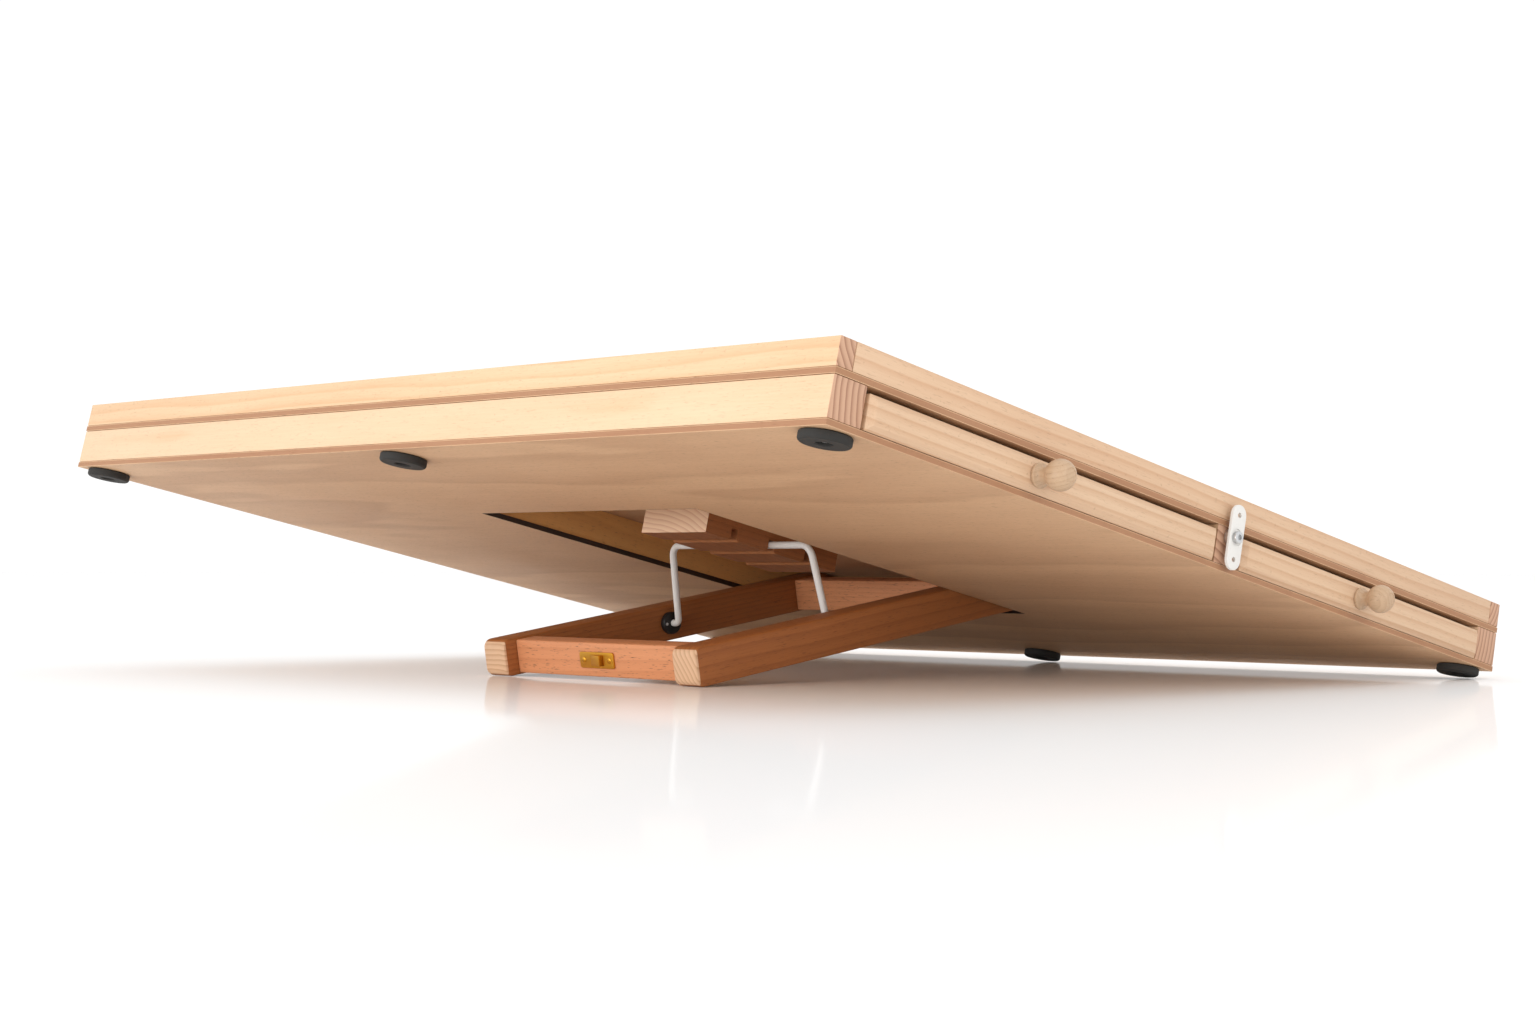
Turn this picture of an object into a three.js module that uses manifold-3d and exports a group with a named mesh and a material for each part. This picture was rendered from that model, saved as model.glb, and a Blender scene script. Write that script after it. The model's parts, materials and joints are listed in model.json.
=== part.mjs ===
// Puzzle board: a rimmed worktop over four side drawers, tilted on a fold-out stand.
// Millimetres, +Z up. Everything is first laid out in the board's own frame, which has X from left
// to right, Y from the raised rear edge to the front edge, and Z out of the worktop. Then the whole
// board is tilted until its front feet and its stand meet the floor.

import * as THREE from 'three';
import { mergeVertices } from 'three/addons/utils/BufferGeometryUtils.js';
import Module from 'manifold-3d';

const wasm = await Module();
wasm.setup();

// Board
const BOARD_WIDTH = 890;
const BOARD_DEPTH = 705;
const BOTTOM_THICKNESS = 4;
const DRAWER_SPACE = 26; // clear height between the two panels
const WORKTOP_THICKNESS = 4;
const RIM_RISE = 18; // height of the rim above the worktop
const RIM_THICKNESS = 12.5;
const RIM_EASE = 0.8; // chamfer on the rim's upper edges
const RAIL_WIDTH = 26;
const DIVIDER_WIDTH = 25;
const DIVIDER_CENTRE = 366; // from the rear edge
const GLUE_GAP = 0.3; // left between pieces that are glued or screwed together

// Feet
const FOOT_RADIUS = 16;
const FOOT_HEIGHT = 6;
const FOOT_CHAMFER = 1;
const FOOT_SIDE_INSET = 19; // from the board's side to the foot's centre
const FOOT_END_INSET = 18; // from the board's rear or front edge to the foot's centre

// Recess that the stand folds into
const OPENING_WIDTH = 256;
const OPENING_LENGTH = 346;
const OPENING_REAR = 174; // from the rear edge
const RECESS_LIP = 2; // how far the recess walls stand back from the opening's edge
const RECESS_WALL = 6;

// Drawers
const DRAWER_FRONT_THICKNESS = 14;
const DRAWER_FRONT_BEVEL = 3.6;
const DRAWER_PROUD = 4; // how far a drawer's front stands out of the board's side
const DRAWER_END_GAP = 2.5; // between a drawer's front and the ends of its bay
const DRAWER_BOX_SETBACK = 1.5; // from the ends of the front to the outside of the box
const DRAWER_FLOOR_GAP = 0.5; // running gap under a drawer
const DRAWER_TOP_GAP = 4; // open gap between a drawer's front and the worktop
const DRAWER_BACK_GAP = 4.5; // between a shut drawer and the recess wall
const DRAWER_WALL = 8;
const DRAWER_WALL_DROP = 3.5; // from the top of the front to the top of the walls
const DRAWER_BOTTOM_THICKNESS = 3;
const DRAWER_BOTTOM_LIFT = 0.3; // the bottom panel's height above the lower edge of the walls

// Knobs
const KNOB_BASE_RADIUS = 8;
const KNOB_BASE_HEIGHT = 2.2;
const KNOB_NECK_RADIUS = 5;
const KNOB_HEAD_RADIUS = 10;
const KNOB_LENGTH = 25.7;
const KNOB_HEAD_DROP = 8.6; // from the face to the middle of the round head
const KNOB_HEAD_SQUASH = 0.98; // the head's length along the knob as a share of its width
const KNOB_HEAD_START = 0.06; // radians round the head from the neck to the first step
const KNOB_HEAD_STOP = 0.5; // radians round the head from the last step to the face's middle
const KNOB_HEAD_STEPS = 9;
const REAR_KNOB_OFFSET = 18; // from the middle of the rear drawer towards the rear
const FRONT_KNOB_OFFSET = 12; // from the middle of the front drawer towards the rear

// Turn buttons that lock the drawers
const BUTTON_LENGTH = 44;
const BUTTON_WIDTH = 14.5;
const BUTTON_THICKNESS = 2;
const BUTTON_STANDOFF = 4.6; // from the board's side to the plate's back
const BUTTON_DROP = 6.5; // from the worktop's underside to the plate's middle
const BUTTON_HOLE_RADIUS = 1.8;
const BUTTON_HOLE_SPREAD = 15; // from the plate's middle to each small hole
const BUTTON_SCREW_RADIUS = 2.4;
const BUTTON_SCREW_DEPTH = 14; // how far the screw enters the divider
const BUTTON_COLLAR_RADIUS = 5.5;
const BUTTON_HEAD_RADIUS = 4.2;
const BUTTON_HEAD_HEIGHT = 2.2;
const BUTTON_SOCKET_RADIUS = 2.2;
const BUTTON_SOCKET_DEPTH = 1.4;

// Stand
const ARM_THICKNESS = 26;
const ARM_SIDE_CLEARANCE = 1.5; // between each arm and the opening's side
const ARM_END_RADIUS = 6.5;
const ARM_EASE = 1.5;
const ARM_END_CLEARANCE = 3.5; // from the folded arm's end to the opening's rear edge
const ARM_TOP_CLEARANCE = 1; // from the folded arm to the worktop's underside
const ARM_FOLD_INSET = 0.5; // from the board's underside to the folded arm's lower edge
const HINGE_SETBACK = 13.5; // from the opening's front edge to the hinge
const BAR_INSET = 1.5; // how far a bar's edges stand back from the arms' edges
const BAR_EASE = 1;
const REAR_BAR_THICKNESS = 18;
const REAR_BAR_SETBACK = 11.5; // from the arms' ends to the bar
const FRONT_BAR_THICKNESS = 20;
const FRONT_BAR_SETBACK = 10; // from the hinge to the bar
const BOLT_RADIUS = 4;
const FITTING_CHAMFER = 1; // on the hinge bolts and the wire's bushings
const BOLT_HEAD_RADIUS = 7;
const BOLT_HEAD_HEIGHT = 4;
const BOLT_WASHER_RADIUS = 8;
const RUNNING_GAP = 0.3; // round every shaft and beside every turning face

// Ratchet board under the worktop
const RATCHET_WIDTH = 76;
const RATCHET_LENGTH = 134.6;
const RATCHET_SETBACK = 113.5; // from the hinge to the ratchet's front face
const RATCHET_RISE = 4.5; // from the board's underside to the ratchet's lower face
const SLOT_COUNT = 3;
const SLOT_PITCH = 38;
const SLOT_START = 27.85; // from the ratchet's rear face to its first slot's middle
const SLOT_DEPTH = 9;
const SLOT_CHAMFER = 1.5;
const SLOT_IN_USE = 1; // counted from the rear, starting at 0
const SLOT_SIDE_GAP = 0.5; // between the wire and a slot's sides
const SLOT_TOP_GAP = 0.75; // between the wire and a slot's end

// Wire prop
const WIRE_RADIUS = 2.75;
const WIRE_LENGTH = 63.4; // from the top bar's axis to the feet's axis
const WIRE_FOOT_REACH = 6.7; // from a leg's axis to the end of its turned-out foot
const WIRE_SPLAY = 7; // how much further apart each leg is at the foot than at the top bar
const WIRE_TOP_BEND = 10;
const WIRE_FOOT_BEND = 4.5;
const BUSHING_RADIUS = 9;
const BUSHING_THICKNESS = 4.7;
const BUSHING_FROM_HINGE = 168;

// Catch on the stand's rear bar and its strike in the recess
const CATCH_WIDTH = 40;
const CATCH_HEIGHT = 12;
const CATCH_THICKNESS = 1.2;
const CATCH_WEDGE_WIDTH = 13;
const CATCH_WEDGE_HEIGHT = 8;
const CATCH_WEDGE_RISE = 3;
const CATCH_WEDGE_TIP = 1;
const CATCH_SCREW_RADIUS = 2.2;
const CATCH_SCREW_RISE = 0.6;
const CATCH_SCREW_SPREAD = 15; // from the catch's middle to each screw
const STRIKE_NOSE_WIDTH = 12;
const STRIKE_NOSE_HEIGHT = 3;
const STRIKE_NOSE_REACH = 7;

// Round shapes
const ROUND_SEGMENTS = 24;
const FOOT_SEGMENTS = 32;
const WIRE_SEGMENTS = 10;
const WIRE_STEPS = 110;

// Heights and places that follow from the sizes above
const WORKTOP_BOTTOM = BOTTOM_THICKNESS + DRAWER_SPACE;
const RIM_BOTTOM = WORKTOP_BOTTOM + WORKTOP_THICKNESS;
const RIM_TOP = RIM_BOTTOM + RIM_RISE;
const HALF_WIDTH = BOARD_WIDTH / 2;
const OPENING_FRONT = OPENING_REAR + OPENING_LENGTH;
const RECESS_HALF = OPENING_WIDTH / 2 + RECESS_LIP;
const RECESS_REAR = OPENING_REAR - RECESS_LIP;
const RECESS_FRONT = OPENING_FRONT + RECESS_LIP;
const SPACE_LOW = BOTTOM_THICKNESS + GLUE_GAP;
const SPACE_HIGH = WORKTOP_BOTTOM - GLUE_GAP;
const HINGE_Y = OPENING_FRONT - HINGE_SETBACK;
const ARM_HEIGHT = WORKTOP_BOTTOM - ARM_TOP_CLEARANCE - ARM_FOLD_INSET;
const HINGE_Z = ARM_FOLD_INSET + ARM_HEIGHT / 2;
const ARM_REACH = HINGE_Y - OPENING_REAR - ARM_END_CLEARANCE;
const ARM_OUTSIDE = OPENING_WIDTH / 2 - ARM_SIDE_CLEARANCE;
const ARM_INSIDE = ARM_OUTSIDE - ARM_THICKNESS;
const BAR_HEIGHT = ARM_HEIGHT - 2 * BAR_INSET;
const DRAWER_LOW = BOTTOM_THICKNESS + DRAWER_FLOOR_GAP;
const DRAWER_FRONT_HEIGHT = WORKTOP_BOTTOM - DRAWER_TOP_GAP - DRAWER_LOW;
const DRAWER_WALL_TOP = DRAWER_LOW + DRAWER_FRONT_HEIGHT - DRAWER_WALL_DROP;
const BUTTON_Z = WORKTOP_BOTTOM - BUTTON_DROP;
const RATCHET_REAR = HINGE_Y - RATCHET_SETBACK - RATCHET_LENGTH;
const SLOT_WIDTH = 2 * (WIRE_RADIUS + SLOT_SIDE_GAP);
const TOP_BAR_Y = RATCHET_REAR + SLOT_START + SLOT_IN_USE * SLOT_PITCH;
const TOP_BAR_Z = RATCHET_RISE + SLOT_DEPTH - SLOT_TOP_GAP - WIRE_RADIUS;

// The hinge, the top bar and the bushing make a triangle, which sets how far the stand opens.
function standAngle() {
	const back = HINGE_Y - TOP_BAR_Y;
	const down = HINGE_Z - TOP_BAR_Z;
	const side = Math.hypot(back, down);
	const numerator = side ** 2 + BUSHING_FROM_HINGE ** 2 - WIRE_LENGTH ** 2;
	return Math.atan2(down, back) + Math.acos(numerator / (2 * side * BUSHING_FROM_HINGE));
}

// The wire's feet hang below its top bar, this far forward of straight down.
function wireAngle(open) {
	const footY = HINGE_Y - BUSHING_FROM_HINGE * Math.cos(open);
	const footZ = HINGE_Z - BUSHING_FROM_HINGE * Math.sin(open);
	return Math.atan2(footY - TOP_BAR_Y, TOP_BAR_Z - footZ);
}

// The floor touches the front feet's lower front edge and the rounded ends of the arms.
function boardTilt(open) {
	const footY = BOARD_DEPTH - FOOT_END_INSET + FOOT_RADIUS - FOOT_CHAMFER;
	const along = ARM_REACH - ARM_END_RADIUS;
	const below = ARM_HEIGHT / 2 - ARM_END_RADIUS;
	const cornerY = HINGE_Y - along * Math.cos(open) + below * Math.sin(open);
	const cornerZ = HINGE_Z - along * Math.sin(open) - below * Math.cos(open);
	const back = footY - cornerY;
	const down = -FOOT_HEIGHT - cornerZ;
	return Math.atan2(down, back) + Math.asin(ARM_END_RADIUS / Math.hypot(back, down));
}

const STAND_ANGLE = standAngle();
const WIRE_ANGLE = wireAngle(STAND_ANGLE);
const BOARD_TILT = boardTilt(STAND_ANGLE);

// Finishes
const PINE = { color: 0xe3bf8d, roughness: 0.6, metalness: 0 };
const PINE_DARK = { color: 0xc99a63, roughness: 0.65, metalness: 0 };
const PLY = { color: 0xb98d5c, roughness: 0.75, metalness: 0 };
const BEECH = { color: 0xc07c4d, roughness: 0.55, metalness: 0 };
const KNOB_WOOD = { color: 0xe8d2ae, roughness: 0.45, metalness: 0 };
const RUBBER = { color: 0x161616, roughness: 0.9, metalness: 0 };
const STEEL = { color: 0xb9bbbd, roughness: 0.35, metalness: 1 };
const WHITE_METAL = { color: 0xe9e8e4, roughness: 0.35, metalness: 0.2 };
const WHITE_COAT = { color: 0xefeeec, roughness: 0.4, metalness: 0 };
const BLACK_PLASTIC = { color: 0x1b1b1b, roughness: 0.5, metalness: 0 };
const BRASS = { color: 0xb98a3e, roughness: 0.35, metalness: 1 };

// Adds a named mesh with its own material to a group.
function addPiece(group, name, geometry, finish, x = 0, y = 0, z = 0) {
	const mesh = new THREE.Mesh(geometry, new THREE.MeshStandardMaterial(finish));
	mesh.name = name;
	mesh.position.set(x, y, z);
	group.add(mesh);
}

// A block between two opposite corners.
function blockBetween([x0, y0, z0], [x1, y1, z1]) {
	const geometry = new THREE.BoxGeometry(x1 - x0, y1 - y0, z1 - z0);
	geometry.translate((x0 + x1) / 2, (y0 + y1) / 2, (z0 + z1) / 2);
	return geometry;
}

// Turns a geometry made along Z so that it runs along X, its outline's x along Y and y along Z.
function alongX(geometry) {
	const turn = new THREE.Matrix4();
	turn.makeBasis(
		new THREE.Vector3(0, 1, 0),
		new THREE.Vector3(0, 0, 1),
		new THREE.Vector3(1, 0, 0),
	);
	return geometry.applyMatrix4(turn);
}

// Turns a geometry made along Z so that it runs along Y, its outline's x along -X and y along Z.
function alongY(geometry) {
	const turn = new THREE.Matrix4();
	turn.makeBasis(
		new THREE.Vector3(-1, 0, 0),
		new THREE.Vector3(0, 0, 1),
		new THREE.Vector3(0, 1, 0),
	);
	return geometry.applyMatrix4(turn);
}

// A body of revolution about X, from [radius, x] pairs that start and end on the axis.
function turnedAboutX(profile, segments = ROUND_SEGMENTS) {
	const points = profile.map(([radius, x]) => new THREE.Vector2(radius, x));
	return new THREE.LatheGeometry(points, segments).rotateZ(-Math.PI / 2);
}

// A cylinder along X between two places.
function rodAlongX(radius, x0, x1, segments = ROUND_SEGMENTS) {
	const rod = new THREE.CylinderGeometry(radius, radius, x1 - x0, segments);
	return rod.rotateZ(-Math.PI / 2).translate((x0 + x1) / 2, 0, 0);
}

// A solid for joining and cutting, from a closed geometry.
function toSolid(geometry) {
	const bare = geometry.clone();
	bare.deleteAttribute('normal');
	bare.deleteAttribute('uv');
	const merged = mergeVertices(bare);
	const mesh = new wasm.Mesh({
		numProp: 3,
		vertProperties: new Float32Array(merged.attributes.position.array),
		triVerts: new Uint32Array(merged.index.array),
	});
	return new wasm.Manifold(mesh);
}

// The geometry of a solid.
function toGeometry(solid) {
	const mesh = solid.getMesh();
	const geometry = new THREE.BufferGeometry();
	geometry.setAttribute('position', new THREE.BufferAttribute(mesh.vertProperties, 3));
	geometry.setIndex(new THREE.BufferAttribute(mesh.triVerts, 1));
	geometry.computeVertexNormals();
	return geometry;
}

// One geometry joined from several that overlap.
function joined(...geometries) {
	const solids = geometries.map(toSolid);
	return toGeometry(solids.reduce((whole, next) => whole.add(next)));
}

// A geometry with others cut out of it.
function cut(geometry, ...cutters) {
	const solids = cutters.map(toSolid);
	return toGeometry(solids.reduce((whole, next) => whole.subtract(next), toSolid(geometry)));
}

// The mirror image of a geometry from right to left, its faces still pointing outwards.
function mirrorImage(geometry) {
	const image = geometry.index ? geometry.clone() : mergeVertices(geometry);
	image.scale(-1, 1, 1);
	const corners = image.index.array;
	for (let first = 0; first < corners.length; first += 3) {
		const kept = corners[first];
		corners[first] = corners[first + 1];
		corners[first + 1] = kept;
	}
	return image;
}

// Adds the right and the left copy of a piece that is made for the right side.
function addPair(group, name, geometry, finish, y = 0, z = 0) {
	addPiece(group, `${name}_right`, geometry, finish, 0, y, z);
	addPiece(group, `${name}_left`, mirrorImage(geometry), finish, 0, y, z);
}

// A closed outline through [x, y] points.
function outline(points) {
	return new THREE.Shape(points.map(([x, y]) => new THREE.Vector2(x, y)));
}

// A rectangle centred on the origin, with its corners cut by an equal chamfer.
function easedRectangle(width, height, ease) {
	const right = width / 2;
	const top = height / 2;
	return outline([
		[ease - right, -top],
		[right - ease, -top],
		[right, ease - top],
		[right, top - ease],
		[right - ease, top],
		[ease - right, top],
		[-right, top - ease],
		[-right, ease - top],
	]);
}

// A rim board's end view: square at the foot, with eased upper edges.
function rimOutline() {
	const half = RIM_THICKNESS / 2;
	const low = RIM_BOTTOM + GLUE_GAP;
	return outline([
		[-half, low],
		[half, low],
		[half, RIM_TOP - RIM_EASE],
		[half - RIM_EASE, RIM_TOP],
		[RIM_EASE - half, RIM_TOP],
		[-half, RIM_TOP - RIM_EASE],
	]);
}

// A plain extrusion centred on its length.
function extrudeCentred(shape, length) {
	const geometry = new THREE.ExtrudeGeometry(shape, { depth: length, bevelEnabled: false });
	return geometry.translate(0, 0, -length / 2);
}

// Bottom panel with the opening that the stand swings through.
function bottomPanel() {
	const panel = blockBetween([-HALF_WIDTH, 0, 0], [HALF_WIDTH, BOARD_DEPTH, BOTTOM_THICKNESS]);
	const half = OPENING_WIDTH / 2;
	const below = -BOTTOM_THICKNESS;
	const above = 2 * BOTTOM_THICKNESS;
	const hole = blockBetween([-half, OPENING_REAR, below], [half, OPENING_FRONT, above]);
	return cut(panel, hole);
}

// Divider between the two drawers on the right, bored for its turn button's screw.
function divider() {
	const inner = RECESS_HALF + RECESS_WALL + GLUE_GAP;
	const near = DIVIDER_CENTRE - DIVIDER_WIDTH / 2;
	const far = DIVIDER_CENTRE + DIVIDER_WIDTH / 2;
	const bar = blockBetween([inner, near, SPACE_LOW], [HALF_WIDTH, far, SPACE_HIGH]);
	const depth = BUTTON_SCREW_DEPTH + RUNNING_GAP;
	const bore = rodAlongX(BUTTON_SCREW_RADIUS + RUNNING_GAP, HALF_WIDTH - depth, HALF_WIDTH + depth);
	bore.translate(0, DIVIDER_CENTRE, BUTTON_Z);
	return cut(bar, bore);
}

// A recess wall on the right side, bored for the hinge bolt.
function recessSideWall() {
	const rear = RECESS_REAR - RECESS_WALL;
	const front = RECESS_FRONT + RECESS_WALL;
	const outside = RECESS_HALF + RECESS_WALL;
	const wall = blockBetween([RECESS_HALF, rear, SPACE_LOW], [outside, front, SPACE_HIGH]);
	const bore = rodAlongX(BOLT_RADIUS + RUNNING_GAP, RECESS_HALF - RECESS_WALL, outside + RECESS_WALL);
	bore.translate(0, HINGE_Y, HINGE_Z);
	return cut(wall, bore);
}

// Ratchet board's side view, with one chamfered slot after another along its lower edge.
function ratchetOutline() {
	const half = SLOT_WIDTH / 2;
	const low = RATCHET_RISE;
	const top = RATCHET_RISE + SLOT_DEPTH;
	const points = [[RATCHET_REAR, low]];
	for (let slot = 0; slot < SLOT_COUNT; slot += 1) {
		const middle = RATCHET_REAR + SLOT_START + slot * SLOT_PITCH;
		points.push([middle - half - SLOT_CHAMFER, low]);
		points.push([middle - half, low + SLOT_CHAMFER]);
		points.push([middle - half, top]);
		points.push([middle + half, top]);
		points.push([middle + half, low + SLOT_CHAMFER]);
		points.push([middle + half + SLOT_CHAMFER, low]);
	}
	points.push([RATCHET_REAR + RATCHET_LENGTH, low]);
	points.push([RATCHET_REAR + RATCHET_LENGTH, SPACE_HIGH]);
	points.push([RATCHET_REAR, SPACE_HIGH]);
	return outline(points);
}

// A round rubber foot, hanging from the board's underside.
function foot() {
	const wide = FOOT_RADIUS;
	const narrow = FOOT_RADIUS - FOOT_CHAMFER;
	const profile = [
		[0, -FOOT_HEIGHT],
		[narrow, -FOOT_HEIGHT],
		[wide, FOOT_CHAMFER - FOOT_HEIGHT],
		[wide, -GLUE_GAP],
		[0, -GLUE_GAP],
	];
	const points = profile.map(([radius, z]) => new THREE.Vector2(radius, z));
	return new THREE.LatheGeometry(points, FOOT_SEGMENTS).rotateX(Math.PI / 2);
}

// A drawer front, with its outer face towards +X at x = 0 and its four front edges chamfered.
function drawerFront(width) {
	const bevel = DRAWER_FRONT_BEVEL;
	const right = width / 2;
	const top = DRAWER_FRONT_HEIGHT / 2;
	const face = outline([[-right, -top], [right, -top], [right, top], [-right, top]]);
	const block = new THREE.ExtrudeGeometry(face, {
		depth: DRAWER_FRONT_THICKNESS,
		bevelThickness: bevel,
		bevelSize: bevel,
		bevelOffset: -bevel,
		bevelSegments: 1,
	});
	block.translate(0, 0, -DRAWER_FRONT_THICKNESS - bevel);
	const rear = -DRAWER_FRONT_THICKNESS;
	const waste = blockBetween([2 * rear, -width, -width], [rear, width, width]);
	return cut(alongX(block), waste);
}

// A turned knob about X, with its base towards -X at x = 0.
function knob() {
	const head = KNOB_HEAD_RADIUS;
	const middle = KNOB_LENGTH - KNOB_HEAD_DROP;
	const profile = [[0, 0], [KNOB_BASE_RADIUS, 0]];
	profile.push([KNOB_BASE_RADIUS, 0.6 * KNOB_BASE_HEIGHT]);
	profile.push([KNOB_BASE_RADIUS - 0.8, KNOB_BASE_HEIGHT]);
	profile.push([KNOB_NECK_RADIUS + 0.6, KNOB_BASE_HEIGHT + 0.4]);
	profile.push([KNOB_NECK_RADIUS, KNOB_BASE_HEIGHT + 2]);
	const first = Math.asin(KNOB_NECK_RADIUS / head) + KNOB_HEAD_START;
	const last = Math.PI - KNOB_HEAD_STOP;
	for (let step = 0; step <= KNOB_HEAD_STEPS; step += 1) {
		const angle = first + ((last - first) * step) / KNOB_HEAD_STEPS;
		profile.push([head * Math.sin(angle), middle - KNOB_HEAD_SQUASH * head * Math.cos(angle)]);
	}
	profile.push([0, KNOB_LENGTH]);
	return turnedAboutX(profile);
}

// One drawer. It is made as on the right side, with its outer end towards +X, and a drawer on the
// left is the same drawer turned half round.
function drawer(prefix, side, rear, front, knobOffset) {
	const group = new THREE.Group();
	const middle = (rear + front) / 2;
	const width = front - rear - 2 * DRAWER_END_GAP;
	const half = width / 2 - DRAWER_BOX_SETBACK;
	const face = HALF_WIDTH + DRAWER_PROUD;
	const near = RECESS_HALF + RECESS_WALL + DRAWER_BACK_GAP;
	const far = face - DRAWER_FRONT_THICKNESS - GLUE_GAP;
	const low = DRAWER_LOW;
	const high = DRAWER_WALL_TOP;
	const centre = low + DRAWER_FRONT_HEIGHT / 2;
	const names = side > 0 ? ['side_rear', 'side_front'] : ['side_front', 'side_rear'];
	group.rotation.z = side > 0 ? 0 : Math.PI;
	group.position.y = middle;

	addPiece(group, `${prefix}_front`, drawerFront(width), PINE, face, 0, centre);
	addPiece(group, `${prefix}_knob`, knob(), KNOB_WOOD, face + GLUE_GAP, -side * knobOffset, centre);
	const inner = half - DRAWER_WALL;
	const between = inner - GLUE_GAP;
	const sideRear = blockBetween([near, -half, low], [far, -inner, high]);
	const sideFront = blockBetween([near, inner, low], [far, half, high]);
	addPiece(group, `${prefix}_${names[0]}`, sideRear, PLY);
	addPiece(group, `${prefix}_${names[1]}`, sideFront, PLY);
	const back = blockBetween([near, -between, low], [near + DRAWER_WALL, between, high]);
	addPiece(group, `${prefix}_back`, back, PLY);
	const floor = low + DRAWER_BOTTOM_LIFT;
	const start = near + DRAWER_WALL + GLUE_GAP;
	const top = floor + DRAWER_BOTTOM_THICKNESS;
	const bottom = blockBetween([start, -between, floor], [far, between, top]);
	addPiece(group, `${prefix}_bottom`, bottom, PLY);
	return group;
}

// A turn button's plate, with its back towards -X at x = 0.
function buttonPlate() {
	const radius = BUTTON_WIDTH / 2;
	const straight = BUTTON_LENGTH / 2 - radius;
	const plate = new THREE.Shape();
	plate.absarc(0, straight, radius, 0, Math.PI, false);
	plate.absarc(0, -straight, radius, Math.PI, 2 * Math.PI, false);
	plate.closePath();
	const holes = [
		[0, BUTTON_SCREW_RADIUS + RUNNING_GAP],
		[BUTTON_HOLE_SPREAD, BUTTON_HOLE_RADIUS],
		[-BUTTON_HOLE_SPREAD, BUTTON_HOLE_RADIUS],
	];
	for (const [height, size] of holes) {
		const hole = new THREE.Path();
		hole.absarc(0, height, size, 0, 2 * Math.PI, true);
		plate.holes.push(hole);
	}
	const settings = { depth: BUTTON_THICKNESS, bevelEnabled: false, curveSegments: 8 };
	return alongX(new THREE.ExtrudeGeometry(plate, settings));
}

// A turn button's shoulder screw with its socket, measured from the board's side at x = 0.
function buttonScrew() {
	const shank = BUTTON_SCREW_RADIUS;
	const collarEnd = BUTTON_STANDOFF - RUNNING_GAP;
	const headStart = BUTTON_STANDOFF + BUTTON_THICKNESS + RUNNING_GAP;
	const headEnd = headStart + BUTTON_HEAD_HEIGHT;
	const screw = turnedAboutX([
		[0, -BUTTON_SCREW_DEPTH],
		[shank, -BUTTON_SCREW_DEPTH],
		[shank, GLUE_GAP],
		[BUTTON_COLLAR_RADIUS, GLUE_GAP],
		[BUTTON_COLLAR_RADIUS, collarEnd],
		[shank, collarEnd],
		[shank, headStart],
		[BUTTON_HEAD_RADIUS, headStart],
		[BUTTON_HEAD_RADIUS, headEnd],
		[0, headEnd],
	]);
	const start = headEnd - BUTTON_SOCKET_DEPTH;
	const socket = rodAlongX(BUTTON_SOCKET_RADIUS, start, headEnd + BUTTON_SOCKET_DEPTH, 6);
	return cut(screw, socket);
}

// A stand arm, pivoting at the origin and reaching towards -Y, centred on its thickness.
function standArm() {
	const half = ARM_HEIGHT / 2;
	const end = -ARM_REACH;
	const corner = ARM_END_RADIUS;
	const side = new THREE.Shape();
	side.moveTo(0, -half);
	side.absarc(0, 0, half, -Math.PI / 2, Math.PI / 2, false);
	side.lineTo(end + corner, half);
	side.absarc(end + corner, half - corner, corner, Math.PI / 2, Math.PI, false);
	side.lineTo(end, corner - half);
	side.absarc(end + corner, corner - half, corner, Math.PI, 1.5 * Math.PI, false);
	side.lineTo(0, -half);
	const plank = new THREE.ExtrudeGeometry(side, {
		depth: ARM_THICKNESS - 2 * ARM_EASE,
		bevelThickness: ARM_EASE,
		bevelSize: ARM_EASE,
		bevelOffset: -ARM_EASE,
		bevelSegments: 1,
		curveSegments: 5,
	});
	plank.translate(0, 0, ARM_EASE - ARM_THICKNESS / 2);
	const bore = rodAlongX(BOLT_RADIUS + RUNNING_GAP, -ARM_THICKNESS, ARM_THICKNESS);
	return cut(alongX(plank), bore);
}

// The right hinge bolt: a head inside the arm, a shank through it, a washer and the end in the wall.
function hingeBolt() {
	const headEnd = ARM_INSIDE - RUNNING_GAP;
	const headStart = headEnd - BOLT_HEAD_HEIGHT;
	const washerStart = ARM_OUTSIDE + RUNNING_GAP;
	const washerEnd = RECESS_HALF - RUNNING_GAP;
	const end = RECESS_HALF + RECESS_WALL - GLUE_GAP;
	return turnedAboutX([
		[0, headStart],
		[BOLT_HEAD_RADIUS - FITTING_CHAMFER, headStart],
		[BOLT_HEAD_RADIUS, headStart + FITTING_CHAMFER],
		[BOLT_HEAD_RADIUS, headEnd],
		[BOLT_RADIUS, headEnd],
		[BOLT_RADIUS, washerStart],
		[BOLT_WASHER_RADIUS, washerStart],
		[BOLT_WASHER_RADIUS, washerEnd],
		[BOLT_RADIUS, washerEnd],
		[BOLT_RADIUS, end],
		[0, end],
	]);
}

// A stand bar between the arms, with the outline's x along the arms.
function standBar(thickness) {
	const length = 2 * (ARM_INSIDE - GLUE_GAP);
	return alongX(extrudeCentred(easedRectangle(thickness, BAR_HEIGHT, BAR_EASE), length));
}

// The right bushing that holds a foot of the wire, on the arm's inner face.
function wireBushing() {
	const seat = ARM_INSIDE - GLUE_GAP;
	const face = seat - BUSHING_THICKNESS;
	return turnedAboutX([
		[0, face],
		[BUSHING_RADIUS - FITTING_CHAMFER, face],
		[BUSHING_RADIUS, face + FITTING_CHAMFER],
		[BUSHING_RADIUS, seat],
		[0, seat],
	]);
}

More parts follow.
